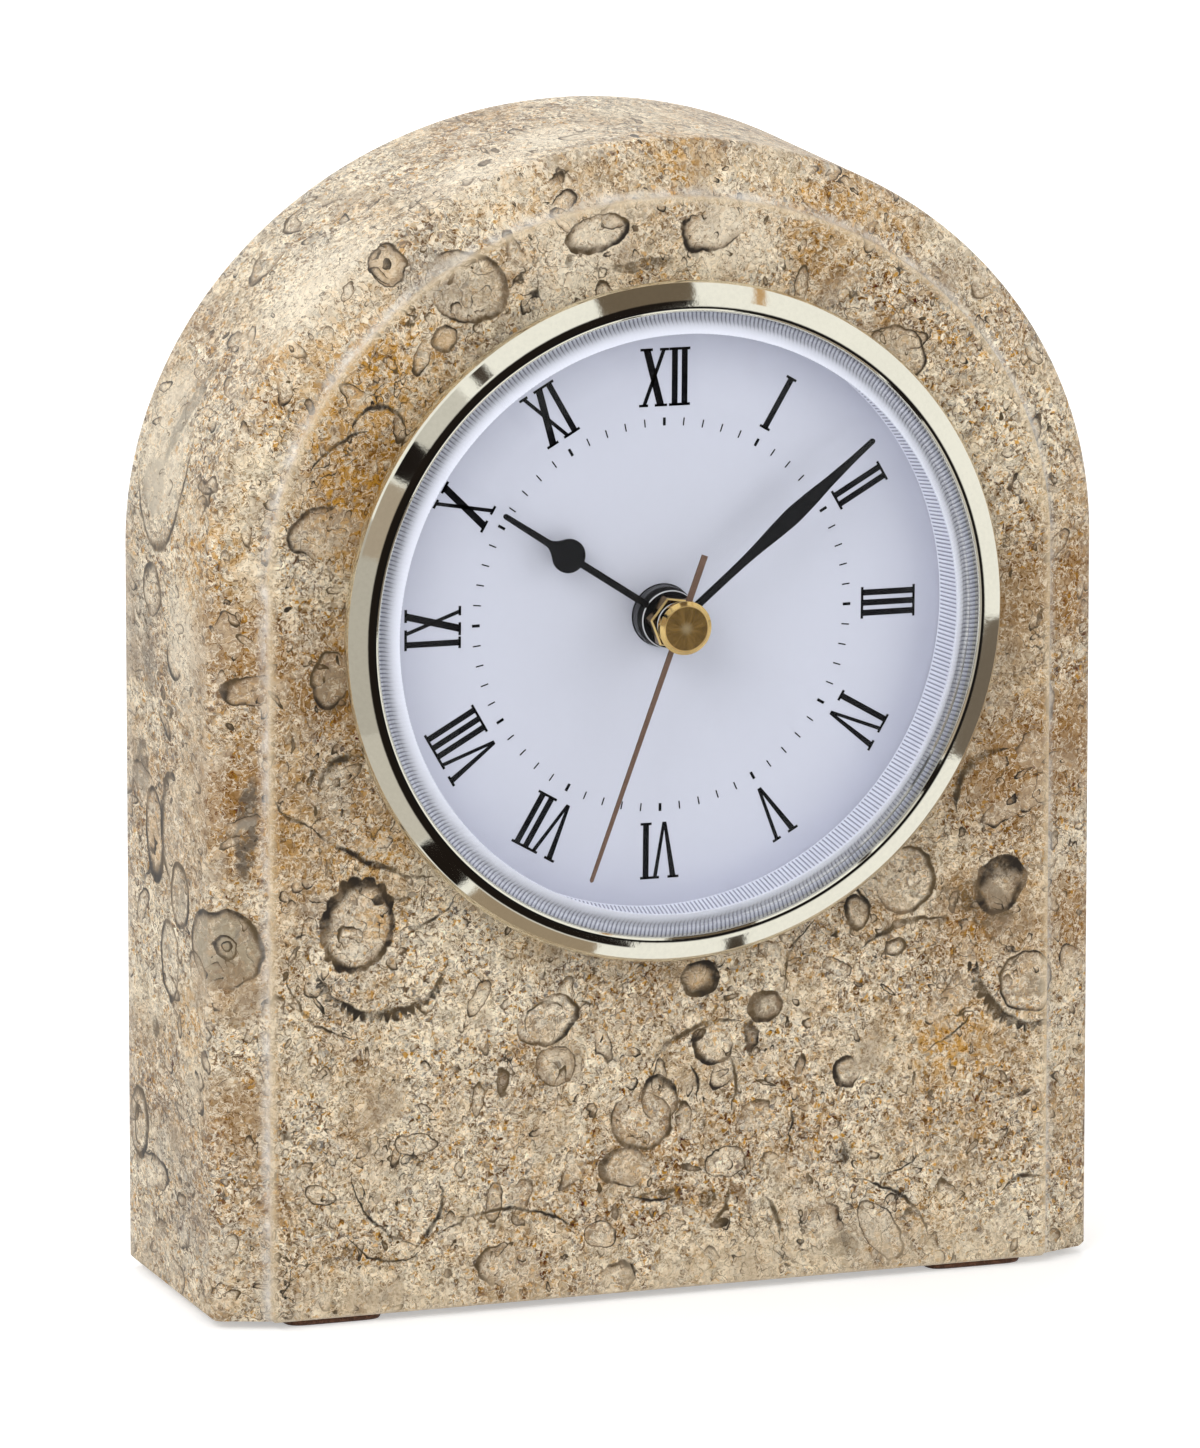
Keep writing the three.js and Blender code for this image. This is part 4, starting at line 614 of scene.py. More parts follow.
def grained(name, colour, rough, metal=0.0, shade=0.12, blotchSize=6.0, grainSize=0.3, relief=0.05, **more):
    material, tree, shader = newMaterial(name, Metallic=metal, **more)
    found = place(tree, grainTree, {"Place": objectPlace(tree), "Blotch Size": blotchSize, "Grain Size": grainSize})
    dark, light = toned(colour, 1 - shade), toned(colour, 1 + shade)
    feed(tree, shader, {
        "Base Color": mixed(tree, ramp(tree, found["Tone"], 0.3, 0.7), dark, light),
        "Roughness": calc(tree, "MULTIPLY_ADD", found["Tone"], rough * 0.5, rough * 0.75),
        "Normal": bumped(tree, found["Height"], relief, grainSize)})
    return material


finish = {
    "gilt": grained("polishedGilt", tint(242, 239, 224), 0.045, 1.0, 0.03, 9.0, 0.6, 0.004),
    "brass": grained("brass", tint(222, 186, 116), 0.2, 1.0, 0.06, 3.0, 0.2, 0.02),
    "bushBrass": grained("bushBrass", tint(138, 106, 60), 0.2, 1.0, 0.08, 2.0, 0.2, 0.02),
    "threadMetal": grained("threadMetal", tint(104, 104, 106), 0.26, 0.75, 0.1, 2.0, 0.15, 0.03),
    "bronze": grained("bronzeHand", tint(112, 86, 71), 0.34, 0.35, 0.08, 3.0, 0.15, 0.03),
    "blackPaint": grained("blackPaint", tint(14, 14, 16), 0.24, 0.0, 0.1, 4.0, 0.2, 0.03, **{"Specular IOR Level": 0.15}),
    "ink": grained("dialInk", tint(14, 14, 17), 0.5, 0.0, 0.15, 2.0, 0.1, 0.05, **{"Specular IOR Level": 0.08}),
    "blackPlastic": grained("blackPlastic", tint(34, 34, 36), 0.45, 0.0, 0.12, 12.0, 0.25, 0.25),
    "greyPlastic": grained("greyPlastic", tint(150, 150, 150), 0.5, 0.0, 0.06, 12.0, 0.25, 0.2),
    "rubber": grained("rubber", tint(48, 46, 45), 0.75, 0.0, 0.1, 8.0, 0.3, 0.2),
    "steel": grained("steel", tint(196, 196, 198), 0.25, 1.0, 0.04, 5.0, 0.15, 0.02),
    "whiteGear": grained("whiteNylon", tint(232, 230, 222), 0.4, 0.0, 0.03, 5.0, 0.2, 0.05),
    "amberGear": grained("amberNylon", tint(206, 150, 72), 0.38, 0.0, 0.06, 5.0, 0.2, 0.05),
    "magnet": grained("sinteredMagnet", tint(72, 72, 76), 0.5, 0.6, 0.12, 2.0, 0.12, 0.15),
    "copper": grained("enamelledCopper", tint(184, 98, 58), 0.3, 0.8, 0.08, 1.5, 0.1, 0.2),
    "board": grained("circuitBoard", tint(40, 92, 60), 0.5, 0.0, 0.1, 3.0, 0.2, 0.1),
}


def paintedEdgeHighlight(material, colour):
    # a painted highlight: a paler colour where the piece's own mark says so
    tree = material.node_tree
    base = tree.nodes["Principled BSDF"].inputs["Base Color"]
    tree.links.new(mixed(tree, ownMark(tree, "paintedHighlight"), base.links[0].from_socket, colour), base)


def refinish(node, material):
    mesh = frame["nodes"][node].data
    mesh.materials.clear()
    mesh.materials.append(material)


# painted highlights: pale grey on the hands' hub bevels, bright brass on the bush's top chamfer
paintedEdgeHighlight(finish["blackPaint"], tint(206, 206, 208))
paintedEdgeHighlight(finish["bushBrass"], tint(246, 214, 146))

carriedOver = {
    "blackPlastic": ["insert_cup", "movement_front_case", "movement_rear_case", "coil_bobbin", "circuit_chip"],
    "greyPlastic": ["setting_knob"], "rubber": ["grip_gasket"],
    "brass": ["seconds_arbor", "contact_positive", "contact_negative"],
    "whiteGear": ["hour_wheel", "centre_wheel", "third_wheel", "intermediate_wheel", "setting_stem"],
    "amberGear": ["minute_tube", "motion_wheel", "seconds_wheel", "rotor_pinion"], "magnet": ["rotor_magnet"],
    "steel": ["stator", "coil_core", "quartz_crystal"], "copper": ["coil_winding"], "board": ["circuit_board"],
}
for key, nodes in carriedOver.items():
    for node in nodes:
        refinish(node, finish[key])
print("finishes made")


# felt pads

felt = {"colour": tint(88, 58, 42), "fibreLight": 2.4, "fibreWays": [(4200, 900, 2500), (900, 4200, 2500)],
        "cornerPower": 7}


def feltMaterial():
    # short matted fibres: noise pulled out along two ways
    material, tree, shader = newMaterial("felt", **{"Roughness": 0.95, "Sheen Weight": 0.4, "Sheen Roughness": 0.5})
    plain = objectPlace(tree)
    first, second = (vectorCalc(tree, "MULTIPLY", plain, way) for way in felt["fibreWays"])
    first, second = (add(tree, "TexNoise", {"Vector": way, "Scale": 1, "Detail": 3}).outputs[0] for way in (first, second))
    fibre = calc(tree, "MAXIMUM", first, second)
    colour = mixed(tree, ramp(tree, fibre, 0.45, 0.75), felt["colour"], toned(felt["colour"], felt["fibreLight"]))
    feed(tree, shader, {"Base Color": colour, "Normal": bumped(tree, fibre, 0.6, 0.2)})
    return material


def buildPads():
    # a superellipse scaled down to its middle on both faces, with sides that bulge a little
    material = feltMaterial()
    turn, power = turns(72), 2 / felt["cornerPower"]
    across = np.sign(np.cos(turn)) * np.abs(np.cos(turn)) ** power
    along = np.sign(np.sin(turn)) * np.abs(np.sin(turn)) ** power
    scale = np.array([0, 0.5, 0.94, 0.975, 0.99, 1, 0.992, 0.975, 0.95, 0.5, 0])
    level = np.array([0.0, 0, 0, 0.06, 0.25, 0.5, 0.75, 0.94, 1, 1, 1])
    for node in [n for n in frame["nodes"] if n.startswith("felt_pad")]:
        low, high = boxOf(node)
        middle, half = (low + high) / 2, (high - low) / 2
        points = np.stack(np.broadcast_arrays(
            middle[0] + half[0] * scale * across, middle[1] + half[1] * scale * along,
            low[2] + (high[2] - low[2]) * level + 0 * turn), -1)
        piece = newPiece(node.replace("felt_pad", "felt"), [(points, gridFaces(*points.shape[:2], True, False))],
                         "clock_body", material, [node], sharp=50)


buildPads()
print("felt pads made")


# bezel, lens and serrated ring

bezel = {"footInner": 42.6, "footOuter": 43.9, "crestRadius": 41.7, "lipInner": 41.2, "sideLevel": 4.4, "seatLevel": 5.4,
         "lipRound": (0.5, 0.45)}
lens = {"rimThick": 1.1, "wallThick": 1.6, "innerReach": 40.15, "outerReach": 41.0, "power": 10, "crowd": 1.8,
        "tint": tint(250, 251, 252), "index": 1.2, "clear": 0.97}
ring = {"ridges": 440, "ridgeDepth": 0.14, "wallFoot": 38.6, "skirt": 39.3, "seat": 1.1, "topCut": 0.14,
        "collar": [(40.0, 0.0), (39.6, 0.25), (39.2, 0.8), (38.75, 1.3), (38.3, 1.75), (38.05, 1.95), (37.97, 1.8),
                   (38.4, 1.25), (38.9, 0.65), (39.3, 0.1), (39.6, -0.35)],
        # the darker ring colour on the next line is painted shade for the ridges' grooves
        "pale": tint(238, 240, 252), "paintedGrooveShade": tint(146, 148, 166), "clear": (0.94, 0.94, 0.96, 1),
        "look": {"Roughness": 0.18, "IOR": 1.47, "Specular IOR Level": 0.5}}


def buildBezel():
    # foot, undercut side, a quarter ellipse up to the crest, a tight one down the lip, and the lens's seat
    low, high = levelsOf("bezel")
    outer, crest, seat, ease = radiusOf("bezel"), bezel["crestRadius"], bezel["seatLevel"], bezel["lipRound"]
    profile = np.concatenate([
        [[bezel["footInner"], low], [bezel["footOuter"] - 0.1, low], [bezel["footOuter"], low + 0.1]],
        arcOf((crest, bezel["sideLevel"]), (outer - crest, high - bezel["sideLevel"]), 0, 90, 26),
        arcOf((crest, high - ease[1]), ease, 90, 180, 10)[1:],
        [[bezel["lipInner"], seat + 0.02], [bezel["lipInner"] + 0.02, seat], [bezel["footInner"], seat]]])
    newPiece("gilt_bezel", [latheGrid(profile, 256)], "clock_body", finish["gilt"], ["bezel"], sharp=26)


def clearToLight(tree, shader, colour):
    # lets the lamps' light through, as clear plastic does
    clear = add(tree, "BsdfTransparent", {"Color": colour})
    shadowRay = add(tree, "LightPath").outputs["Is Shadow Ray"]
    both = add(tree, "MixShader", {0: shadowRay, 1: shader.outputs[0], 2: clear.outputs[0]})
    tree.links.new(both.outputs[0], tree.nodes["Material Output"].inputs["Surface"])


def buildLens():
    # a flat rim, and two domes whose height falls with a power of the radius
    material, tree, shader = newMaterial("clearLens", **{
        "Base Color": lens["tint"], "Roughness": 0.0, "IOR": lens["index"], "Transmission Weight": 1.0})
    clearToLight(tree, shader, (*[lens["clear"]] * 3, 1))
    low, high = levelsOf("lens")
    rimTop = low + lens["rimThick"]

    def dome(reach, base, top):
        radius = reach * (1 - (1 - np.linspace(0, 1, 44)) ** lens["crowd"])
        return np.c_[radius, base + (top - base) * (1 - (radius / reach) ** lens["power"])]

    outerDome = dome(lens["outerReach"], rimTop, high)
    innerDome = dome(lens["innerReach"], low, high - lens["wallThick"])
    rim = radiusOf("lens")
    profile = np.concatenate([outerDome, [[rim, rimTop], [rim, low]], innerDome[::-1]])
    newPiece("lens_dome", [latheGrid(profile, 160, closed=False)], "clock_body", material, ["lens"], sharp=30)


def buildRing():
    # a turned ring with a collar under the lens's shoulder, cut into ridges: its radius and level swing with the angle
    low, high = levelsOf("dial_ring")
    outer = radiusOf("dial_ring")
    foot, skirt, seat, tall = ring["wallFoot"], ring["skirt"], ring["seat"], high - low
    turn = turns(ring["ridges"] * 4)
    wave = np.abs(((turn * ring["ridges"] / (2 * np.pi)) % 1) * 2 - 1)
    # the section as [radius, level, share of the cut into the wall and into the top]: foot, seat, top, collar, wall
    collar = np.array(ring["collar"]) + [0, high]
    collarCut = np.c_[np.linspace(0, 0.5, len(collar)), [1, 0.9, 0.65, 0.42, 0.35, 0.6, 0.4, 0.3, 0.25, 0.25, 0.7]]
    section = np.concatenate([
        [[foot, low, 0, 0], [skirt, low, 0, 0], [skirt, seat, 0, 0], [outer, seat, 0, 0], [outer, high, 0, 0]],
        [[outer - 0.3, high, 0, 0], [outer - 0.35, high, 0, 1]], np.c_[collar, collarCut],
        [[foot + 0.8, low + tall * 0.66, 1, 0], [foot + 0.4, low + tall * 0.33, 1, 0], [foot + 0.02, low + 0.1, 1, 0]]])
    radius, level, cut, topCut = section.T
    radius = radius + cut * wave * ring["ridgeDepth"]
    level = level - topCut * wave * ring["topCut"]
    # dark lines painted into the grooves: painted shade and painted refraction lines of the clear ring
    paintedGrooveShades = wave * np.maximum(cut, topCut)
    material, tree, shader = newMaterial("serratedRing", **ring["look"])
    clearToLight(tree, shader, ring["clear"])
    share = ramp(tree, ownMark(tree, "paintedGrooveShade"), 0.4, 0.95)
    feed(tree, shader, {"Base Color": mixed(tree, share, ring["pale"], ring["paintedGrooveShade"])})
    newPiece("serrated_ring", [roundGrid(turn, radius, level)], "clock_body", material, ["dial_ring"], sharp=20,
             marks={"paintedGrooveShade": paintedGrooveShades})


buildBezel()
buildLens()
buildRing()
print("bezel, lens and ring made")


# dial and its print

dialPrint = {"turn": 0.6, "tickRadius": 25.55, "tickLength": 1.05, "hourTick": 0.38, "minuteTick": 0.17,
             "numeralFoot": 27.55, "numeralHeight": 7.55, "thick": 0.8, "heavy": 0.98, "thin": 0.52, "point": 0.42,
             "serif": 0.34, "overhang": 0.36, "pitch": 1.35, "vWide": 2.55, "xWide": 2.44, "xReach": 0.38, "xHeavyFoot": 2.0,
             "inkThick": 0.03}
silver = {"colour": tint(208, 210, 222), "edge": tint(205, 207, 220), "fleck": tint(150, 150, 160), "roughness": 0.42}


def dialMaterial():
    # satin silver paint: a fine grain, a faint fall-off towards the edge
    material, tree, shader = newMaterial("satinDial", **{"Metallic": 0.15})
    plain = objectPlace(tree)
    found = place(tree, grainTree, {"Place": plain, "Blotch Size": 14.0, "Grain Size": 0.12})
    reach = vectorCalc(tree, "DISTANCE", plain, tuple(dialCentre * mm))
    colour = mixed(tree, ramp(tree, reach, 0.028, 0.04), silver["colour"], silver["edge"])
    colour = mixed(tree, ramp(tree, found["Tone"], 0.25, 0.75), mixed(tree, 0.05, colour, silver["fleck"]), colour)
    feed(tree, shader, {
        "Base Color": colour, "Normal": bumped(tree, found["Height"], 0.04, 0.1),
        "Roughness": calc(tree, "MULTIPLY_ADD", found["Tone"], 0.12, silver["roughness"] - 0.06)})
    return material


def stroke(foot, head, width, footWidth=None):
    # a slanted stroke with level ends: four corners, from its foot's middle to its head's
    low, high = (width if footWidth is None else footWidth) / 2, width / 2
    tall = dialPrint["numeralHeight"]
    return [[foot - low, 0], [foot + low, 0], [head + high, tall], [head - high, tall]]


def serifBar(middle, width, top):
    half, thick = width / 2 + dialPrint["overhang"], dialPrint["serif"]
    low = dialPrint["numeralHeight"] - thick if top else 0.0
    return [[middle - half, low], [middle + half, low], [middle + half, low + thick], [middle - half, low + thick]]


def glyph(letter, at):
    # one letter's strokes and serifs, and where the next starts; a small letter has its heavy stroke on the other side
    p = dialPrint
    thick, heavy, thin = p["thick"], p["heavy"], p["thin"]
    if letter == "I":
        return [stroke(at, at, thick), serifBar(at, thick, True), serifBar(at, thick, False)], at + p["pitch"]
    if letter in "Vv":
        head, foot = at + p["vWide"], at + p["vWide"] / 2
        first, last = (thick, thin) if letter == "V" else (thin, thick)
        strokes = [stroke(foot - 0.06, at, first, p["point"]), stroke(foot + 0.06, head, last, p["point"])]
        return strokes + [serifBar(at, first, True), serifBar(head, last, True)], head + p["pitch"] - 0.1
    ends = [(0.0, p["xHeavyFoot"], heavy), (p["xWide"], -p["xReach"], thin)]  # head, foot and width of the two strokes
    if letter == "x":
        ends = [(p["xWide"] - head, p["xWide"] - foot, width) for head, foot, width in ends]
    strokes = []
    for head, foot, width in ends:
        strokes += [stroke(at + foot, at + head, width), serifBar(at + head, width, True), serifBar(at + foot, width, False)]
    return strokes, at + p["xWide"] + p["pitch"] + 0.08


def buildPrint():
    # flat strokes turned about the dial's centre and given an ink's thickness
    quads = []
    for hour, letters in enumerate(["XII", "I", "II", "III", "Iv", "V", "VI", "VII", "VIII", "Ix", "x", "xI"]):
        strokes, at = [], 0.0
        for letter in letters:
            more, at = glyph(letter, at)
            strokes += more
        strokes = np.array(strokes)
        strokes[..., 0] -= (strokes[..., 0].min() + strokes[..., 0].max()) / 2
        strokes[..., 1] += dialPrint["numeralFoot"]
        quads.append((strokes, np.full(len(strokes), hour * 30.0)))
    minutes = np.arange(60)
    wide = np.where(minutes % 5 == 0, dialPrint["hourTick"], dialPrint["minuteTick"]) / 2
    inner, outer = dialPrint["tickRadius"] + np.array([-0.5, 0.5]) * dialPrint["tickLength"]
    across = np.stack([-wide, wide, wide, -wide], 1)
    ticks = np.stack([across, np.broadcast_to([inner, inner, outer, outer], (60, 4))], -1)
    quads.append((ticks, minutes * 6.0))
    flat = np.concatenate([q for q, a in quads])
    turn = np.radians(np.concatenate([a for q, a in quads]) + dialPrint["turn"])[:, None]
    x = flat[..., 0] * np.cos(turn) + flat[..., 1] * np.sin(turn)
    y = flat[..., 1] * np.cos(turn) - flat[..., 0] * np.sin(turn)
    front = levelsOf("dial")[1]
    levels = np.array([front + 0.002, front + dialPrint["inkThick"]])
    points = np.stack(np.broadcast_arrays(x[:, None], y[:, None], levels[None, :, None]), -1)
    box = np.array([[3, 2, 1, 0], [4, 5, 6, 7], [0, 1, 5, 4], [1, 2, 6, 5], [2, 3, 7, 6], [3, 0, 4, 7]])
    faces = (np.arange(len(flat))[:, None, None] * 8 + box).reshape(-1, 4)
    newPiece("dial_print", [(fromInsert(points), faces)], "clock_body", finish["ink"], sharp=30)


refinish("dial", dialMaterial())
buildPrint()
print("dial made")


# hands

hourHand = {"angle": 303.8, "length": 27.3, "disc": 2.25, "discAt": 16.7, "leave": 45, "stem": 0.95, "neck": 1.9, "tip": 0.74,
            "hub": 3.85, "bore": 2.5, "low": 1.8, "thick": 0.4, "collar": 0.2, "bevel": 0.1}
minuteHand = {"angle": 50.2, "length": 35.2, "hub": 2.85, "bore": 1.6, "low": 4.8, "thick": 0.4, "collar": 0.2, "bevel": 0.1,
              "widths": [(0, 1.02), (9, 1.02), (12, 1.14), (14.6, 1.45), (17.5, 2.0), (20.6, 2.4), (24, 2.0), (27.2, 1.34),
                         (31.3, 0.86), (35.2, 0.7)]}
secondHand = {"angle": 200.3, "length": 35.3, "tail": 9.6, "tip": 0.5, "tailWidth": 0.86, "base": 0.74, "boss": 1.2, "hub": 2.4,
              "bore": 0.42, "low": 6.0, "thick": 0.25, "bevel": 0.05}


def handGrid(hand, along, half):
    # a thin bevelled section whose half width follows the length
    low, high = hand["low"], hand["low"] + hand["thick"]
    ease = np.minimum(hand["bevel"], half * 0.6)
    across = np.stack([-half, half, half, half - ease, -half + ease, -half], 1)
    level = np.array([low, low, high - hand["bevel"], high, high, high - hand["bevel"]])
    angle = math.radians(hand["angle"])
    x = across * math.cos(angle) + along[:, None] * math.sin(angle)
    y = along[:, None] * math.cos(angle) - across * math.sin(angle)
    points = np.stack(np.broadcast_arrays(x, y, level), -1)
    ends = np.array([[0, 1, 2, 5], [5, 2, 3, 4]])
    faces = np.concatenate([gridFaces(len(along), 6, False, True), ends, ends + 6 * len(along) - 6])
    return fromInsert(points), faces


def handHub(h):
    # a flat hub with a bevelled edge and a low collar round the tube
    top, inner, rise, bevel = h["low"] + h["thick"], h["bore"] + 0.02, h["collar"], h["bevel"]
    profile = [[inner, h["low"]], [h["hub"], h["low"]], [h["hub"], top - bevel - 0.04], [h["hub"], top - bevel],
               [h["hub"] - bevel, top], [h["hub"] - bevel - 0.04, top], [inner + 0.5, top],
               [inner + 0.42, top + rise - 0.05], [inner + 0.36, top + rise], [inner, top + rise]]
    return latheGrid(profile, 72)


def bevelHighlightMarks(blade, hub):
    # 1 on the hub's bevel, which gets a pale grey painted highlight, and 0 elsewhere
    bevel = np.tile([0, 0, 0, 1, 1, 0, 0, 0, 0, 0], len(hub[0]))
    return {"paintedHighlight": np.r_[np.zeros(np.size(blade[0]) // 3), bevel]}


def roundTip(length, width, start):
    # the half widths of a rounded end, and where they fall
    turn = np.radians(np.linspace(0, 84, 7))[1:]
    reach = width / 2
    return start + (length - start) * np.sin(turn), reach * np.cos(turn)


def buildHourHand():
    # stem, disc, short concave shoulders and a slim pointer with a round end
    h = hourHand
    leave, stem, tip = math.radians(h["leave"]), h["stem"] / 2, h["tip"] / 2
    shoulder, atShoulder = h["disc"] * math.sin(leave), h["discAt"] + h["disc"] * math.cos(leave)
    enter = h["discAt"] - math.sqrt(h["disc"] ** 2 - stem ** 2)
    arc = np.linspace(enter, atShoulder, 41)
    run = np.linspace(0, 1, 16)[1:]
    neckEnd, neckHalf = atShoulder + h["neck"], tip * 1.28
    endAt, endHalf = roundTip(h["length"], h["tip"], h["length"] - tip)
    along = np.r_[np.linspace(h["hub"] - 0.4, enter, 5)[:-1], arc, atShoulder + run * h["neck"],
                  np.linspace(neckEnd, h["length"] - tip, 8)[1:], endAt]
    half = np.r_[np.full(4, stem), np.sqrt(np.maximum(h["disc"] ** 2 - (arc - h["discAt"]) ** 2, stem ** 2)),
                 neckHalf + (shoulder - neckHalf) * (1 - run) ** 1.9, np.linspace(neckHalf, tip, 8)[1:], endHalf]
    blade, hub = handGrid(h, along, half), handHub(h)
    newPiece("spade_hour_hand", [blade, hub], "hour_work", finish["blackPaint"], ["hour_hand"], sharp=30,
             marks=bevelHighlightMarks(blade, hub))


def buildMinuteHand():
    # a stem that swells into a slim leaf and runs out to a fine round tip: widths eased between their stops
    h = minuteHand
    stops, widths = np.array(h["widths"]).T
    fine = np.linspace(-4, h["length"] + 4, 441)
    kernel = np.hanning(27)
    eased = np.convolve(np.interp(fine, stops, widths), kernel / kernel.sum(), mode="same")
    tip = widths[-1] / 2
    endAt, endHalf = roundTip(h["length"], widths[-1], h["length"] - tip)
    body = np.linspace(h["hub"] - 0.4, h["length"] - tip, 70)
    along, half = np.r_[body, endAt], np.r_[np.interp(body, fine, eased) / 2, endHalf]
    blade, hub = handGrid(h, along, half), handHub(h)
    newPiece("leaf_minute_hand", [blade, hub], "minute_work", finish["blackPaint"], ["minute_hand"], sharp=30,
             marks=bevelHighlightMarks(blade, hub))


def buildSecondHand():
    # a plain needle with a wider square tail behind the hub
    h = secondHand
    low, high, boss = h["low"], h["low"] + h["thick"], h["boss"]
    along = np.r_[-h["tail"], -h["tail"] + 0.1, np.linspace(-h["tail"] + 1, -h["hub"], 6), np.linspace(-boss, boss, 5),
                  np.linspace(h["hub"], h["length"] - 0.2, 12), h["length"]]
    stops = [-h["tail"], -h["hub"], -boss, h["hub"], h["length"]]
    half = np.interp(along, stops, np.array([h["tailWidth"], h["tailWidth"], h["tailWidth"], h["base"], h["tip"]]) / 2)
    half[-1] = h["tip"] * 0.2
    hub = [[h["bore"], low], [h["hub"], low], [h["hub"], high], [h["bore"], high]]
    newPiece("needle_second_hand", [handGrid(h, along, half), latheGrid(hub, 48)], "seconds_work",
             finish["bronze"], ["second_hand"], sharp=30)


buildHourHand()
buildMinuteHand()
buildSecondHand()
print("hands made")


# bushing thread and cap

bushing = {"radius": 4.01, "depth": 0.07, "pitch": 0.5, "inner": 3.6}
bush = {"radius": 3.62, "bore": 1.65, "chamfer": 0.22, "turn": -9}
cap = {"bevel": 0.62, "slope": 0.4, "taper": 0.34, "dish": 0.05, "centreReach": 1.2,
       # the centre colour is a painted highlight at the face's middle
       "face": tint(158, 124, 70), "rim": tint(240, 204, 134), "centre": tint(184, 162, 122)}


def buildThread():
    # a sleeve whose radius swings with height less one pitch a turn
    low, high = levelsOf("dial")[1], levelsOf("movement_front_case")[1]
    turn, level = turns(96), np.linspace(low + 0.02, high - 0.02, 25)[None]
    wave = np.abs((((level / bushing["pitch"]) - turn / (2 * np.pi)) % 1) * 2 - 1)
    radius = bushing["radius"] + bushing["depth"] * wave
    radius = np.concatenate([bushing["inner"] + 0 * turn, radius, bushing["inner"] + 0 * turn], 1)
    level = np.concatenate([level[:, :1], level, level[:, -1:]], 1)
    newPiece("bushing_thread", [roundGrid(turn, radius, level)], "clock_body", finish["threadMetal"], sharp=25)


def buildBush():
    # a hexagon whose corners are chamfered towards both faces, bored for the minute tube
    low, high = levelsOf("minute_hand_bush")
    chamfer, turn = bush["chamfer"], np.radians(np.arange(0, 360, 5.0) + bush["turn"])[:, None]
    flat = math.cos(math.pi / 6) / np.cos((turn - np.radians(bush["turn"])) % (np.pi / 3) - np.pi / 6)  # a hexagon's reach
    inset = np.array([-1, 1, 0, 0, 0, 1, 1.25, -1])
    level = np.array([low, low, low + chamfer, high - chamfer - 0.05, high - chamfer, high, high, high])
    # the top chamfer gets a bright painted highlight
    paintedHighlight = np.array([0.0, 0, 0, 0, 1, 1, 0, 0])
    outer = bush["radius"] * flat - chamfer * np.maximum(inset, 0)
    radius = np.where(inset < 0, bush["bore"], outer)
    newPiece("hexagon_bush", [roundGrid(turn, radius, level)], "minute_work", finish["bushBrass"],
             ["minute_hand_bush"], sharp=20, marks={"paintedHighlight": np.broadcast_to(paintedHighlight, radius.shape)})


def capMaterial():
    # a radially brushed face inside a bright bevelled rim, with a painted highlight at its middle
    material, tree, shader = newMaterial("brushedCap", **{"Metallic": 1.0})
    centred = add(tree, "Mapping", {"Vector": objectPlace(tree), "Location": tuple(-dialCentre * mm)}).outputs[0]
    spread = add(tree, "SeparateXYZ", {0: centred}).outputs
    bearing = calc(tree, "ARCTAN2", spread["Z"], spread["X"])
    squares = [times(tree, spread[axis], spread[axis]) for axis in "XZ"]
    flatReach = calc(tree, "SQRT", calc(tree, "ADD", *squares))
    ray = add(tree, "CombineXYZ", {0: calc(tree, "COSINE", bearing), 1: calc(tree, "SINE", bearing),
                                   2: times(tree, flatReach, 150)}).outputs[0]
    brush = add(tree, "TexNoise", {"Vector": ray, "Scale": 2.6, "Detail": 6, "Roughness": 0.75}).outputs[0]
    face = mixed(tree, ramp(tree, brush, 0.3, 0.7), toned(cap["face"], 0.4), cap["face"])
    # a paler middle: painted highlight
    face = mixed(tree, ramp(tree, flatReach, cap["centreReach"] * mm, 0.0), face, cap["centre"])
    rimAt = radiusOf("second_hand_cap") - cap["bevel"]
    rough = calc(tree, "MULTIPLY_ADD", brush, 0.25, 0.26)
    feed(tree, shader, {
        "Base Color": mixed(tree, ramp(tree, flatReach, (rimAt - 0.12) * mm, rimAt * mm), face, cap["rim"]),
        "Roughness": times(tree, rough, ramp(tree, flatReach, (rimAt + 0.4) * mm, (rimAt - 0.1) * mm)),
        "Normal": bumped(tree, brush, 0.15, 0.1)})
    return material


def buildCap():
    # a disc that tapers to its foot, with a wide bevel and a faintly dished face
    low, high = levelsOf("second_hand_cap")
    radius, shoulder, dish = radiusOf("second_hand_cap"), high - cap["slope"], high - cap["dish"]
    face = radius - cap["bevel"]
    profile = [[0, low], [radius - cap["taper"], low], [radius, shoulder - 0.12], [radius - 0.02, shoulder],
               [face, high], [face - 0.06, dish], [face * 0.6, dish], [0, dish]]
    newPiece("brass_cap", [latheGrid(profile, 72, closed=False)], "seconds_work", capMaterial(),
             ["second_hand_cap"], sharp=20)


buildThread()
buildBush()
buildCap()
print("hub made")


# battery

cell = {"sleeve": tint(42, 74, 96), "band": tint(196, 160, 96), "bare": tint(190, 190, 192), "shine": tint(235, 235, 235),
        "nub": 2.75, "nubLength": 1.2, "nubEase": 0.35, "edge": 0.6, "bandAt": 0.7, "sleeveEnd": 1.1}


def cellMaterial():
    # a printed sleeve in two plain colours along the cell, with bare ends
    material, tree, shader = newMaterial("cellSleeve")
    plain = objectPlace(tree)
    low, high = boxOf("battery")
    along = add(tree, "SeparateXYZ", {0: plain}).outputs["X"]
    split = (low[0] + (high[0] - low[0]) * cell["bandAt"]) * mm
    colour = mixed(tree, ramp(tree, along, split - 0.0001, split + 0.0001), cell["sleeve"], cell["band"])
    found = place(tree, grainTree, {"Place": plain, "Blotch Size": 9.0, "Grain Size": 0.3})
    colour = mixed(tree, times(tree, found["Tone"], 0.12), colour, cell["shine"])
    bare = ownMark(tree, "bare")
    feed(tree, shader, {
        "Base Color": mixed(tree, bare, colour, cell["bare"]), "Metallic": bare,
        "Roughness": calc(tree, "MULTIPLY_ADD", found["Tone"], 0.15, 0.25)})
    return material


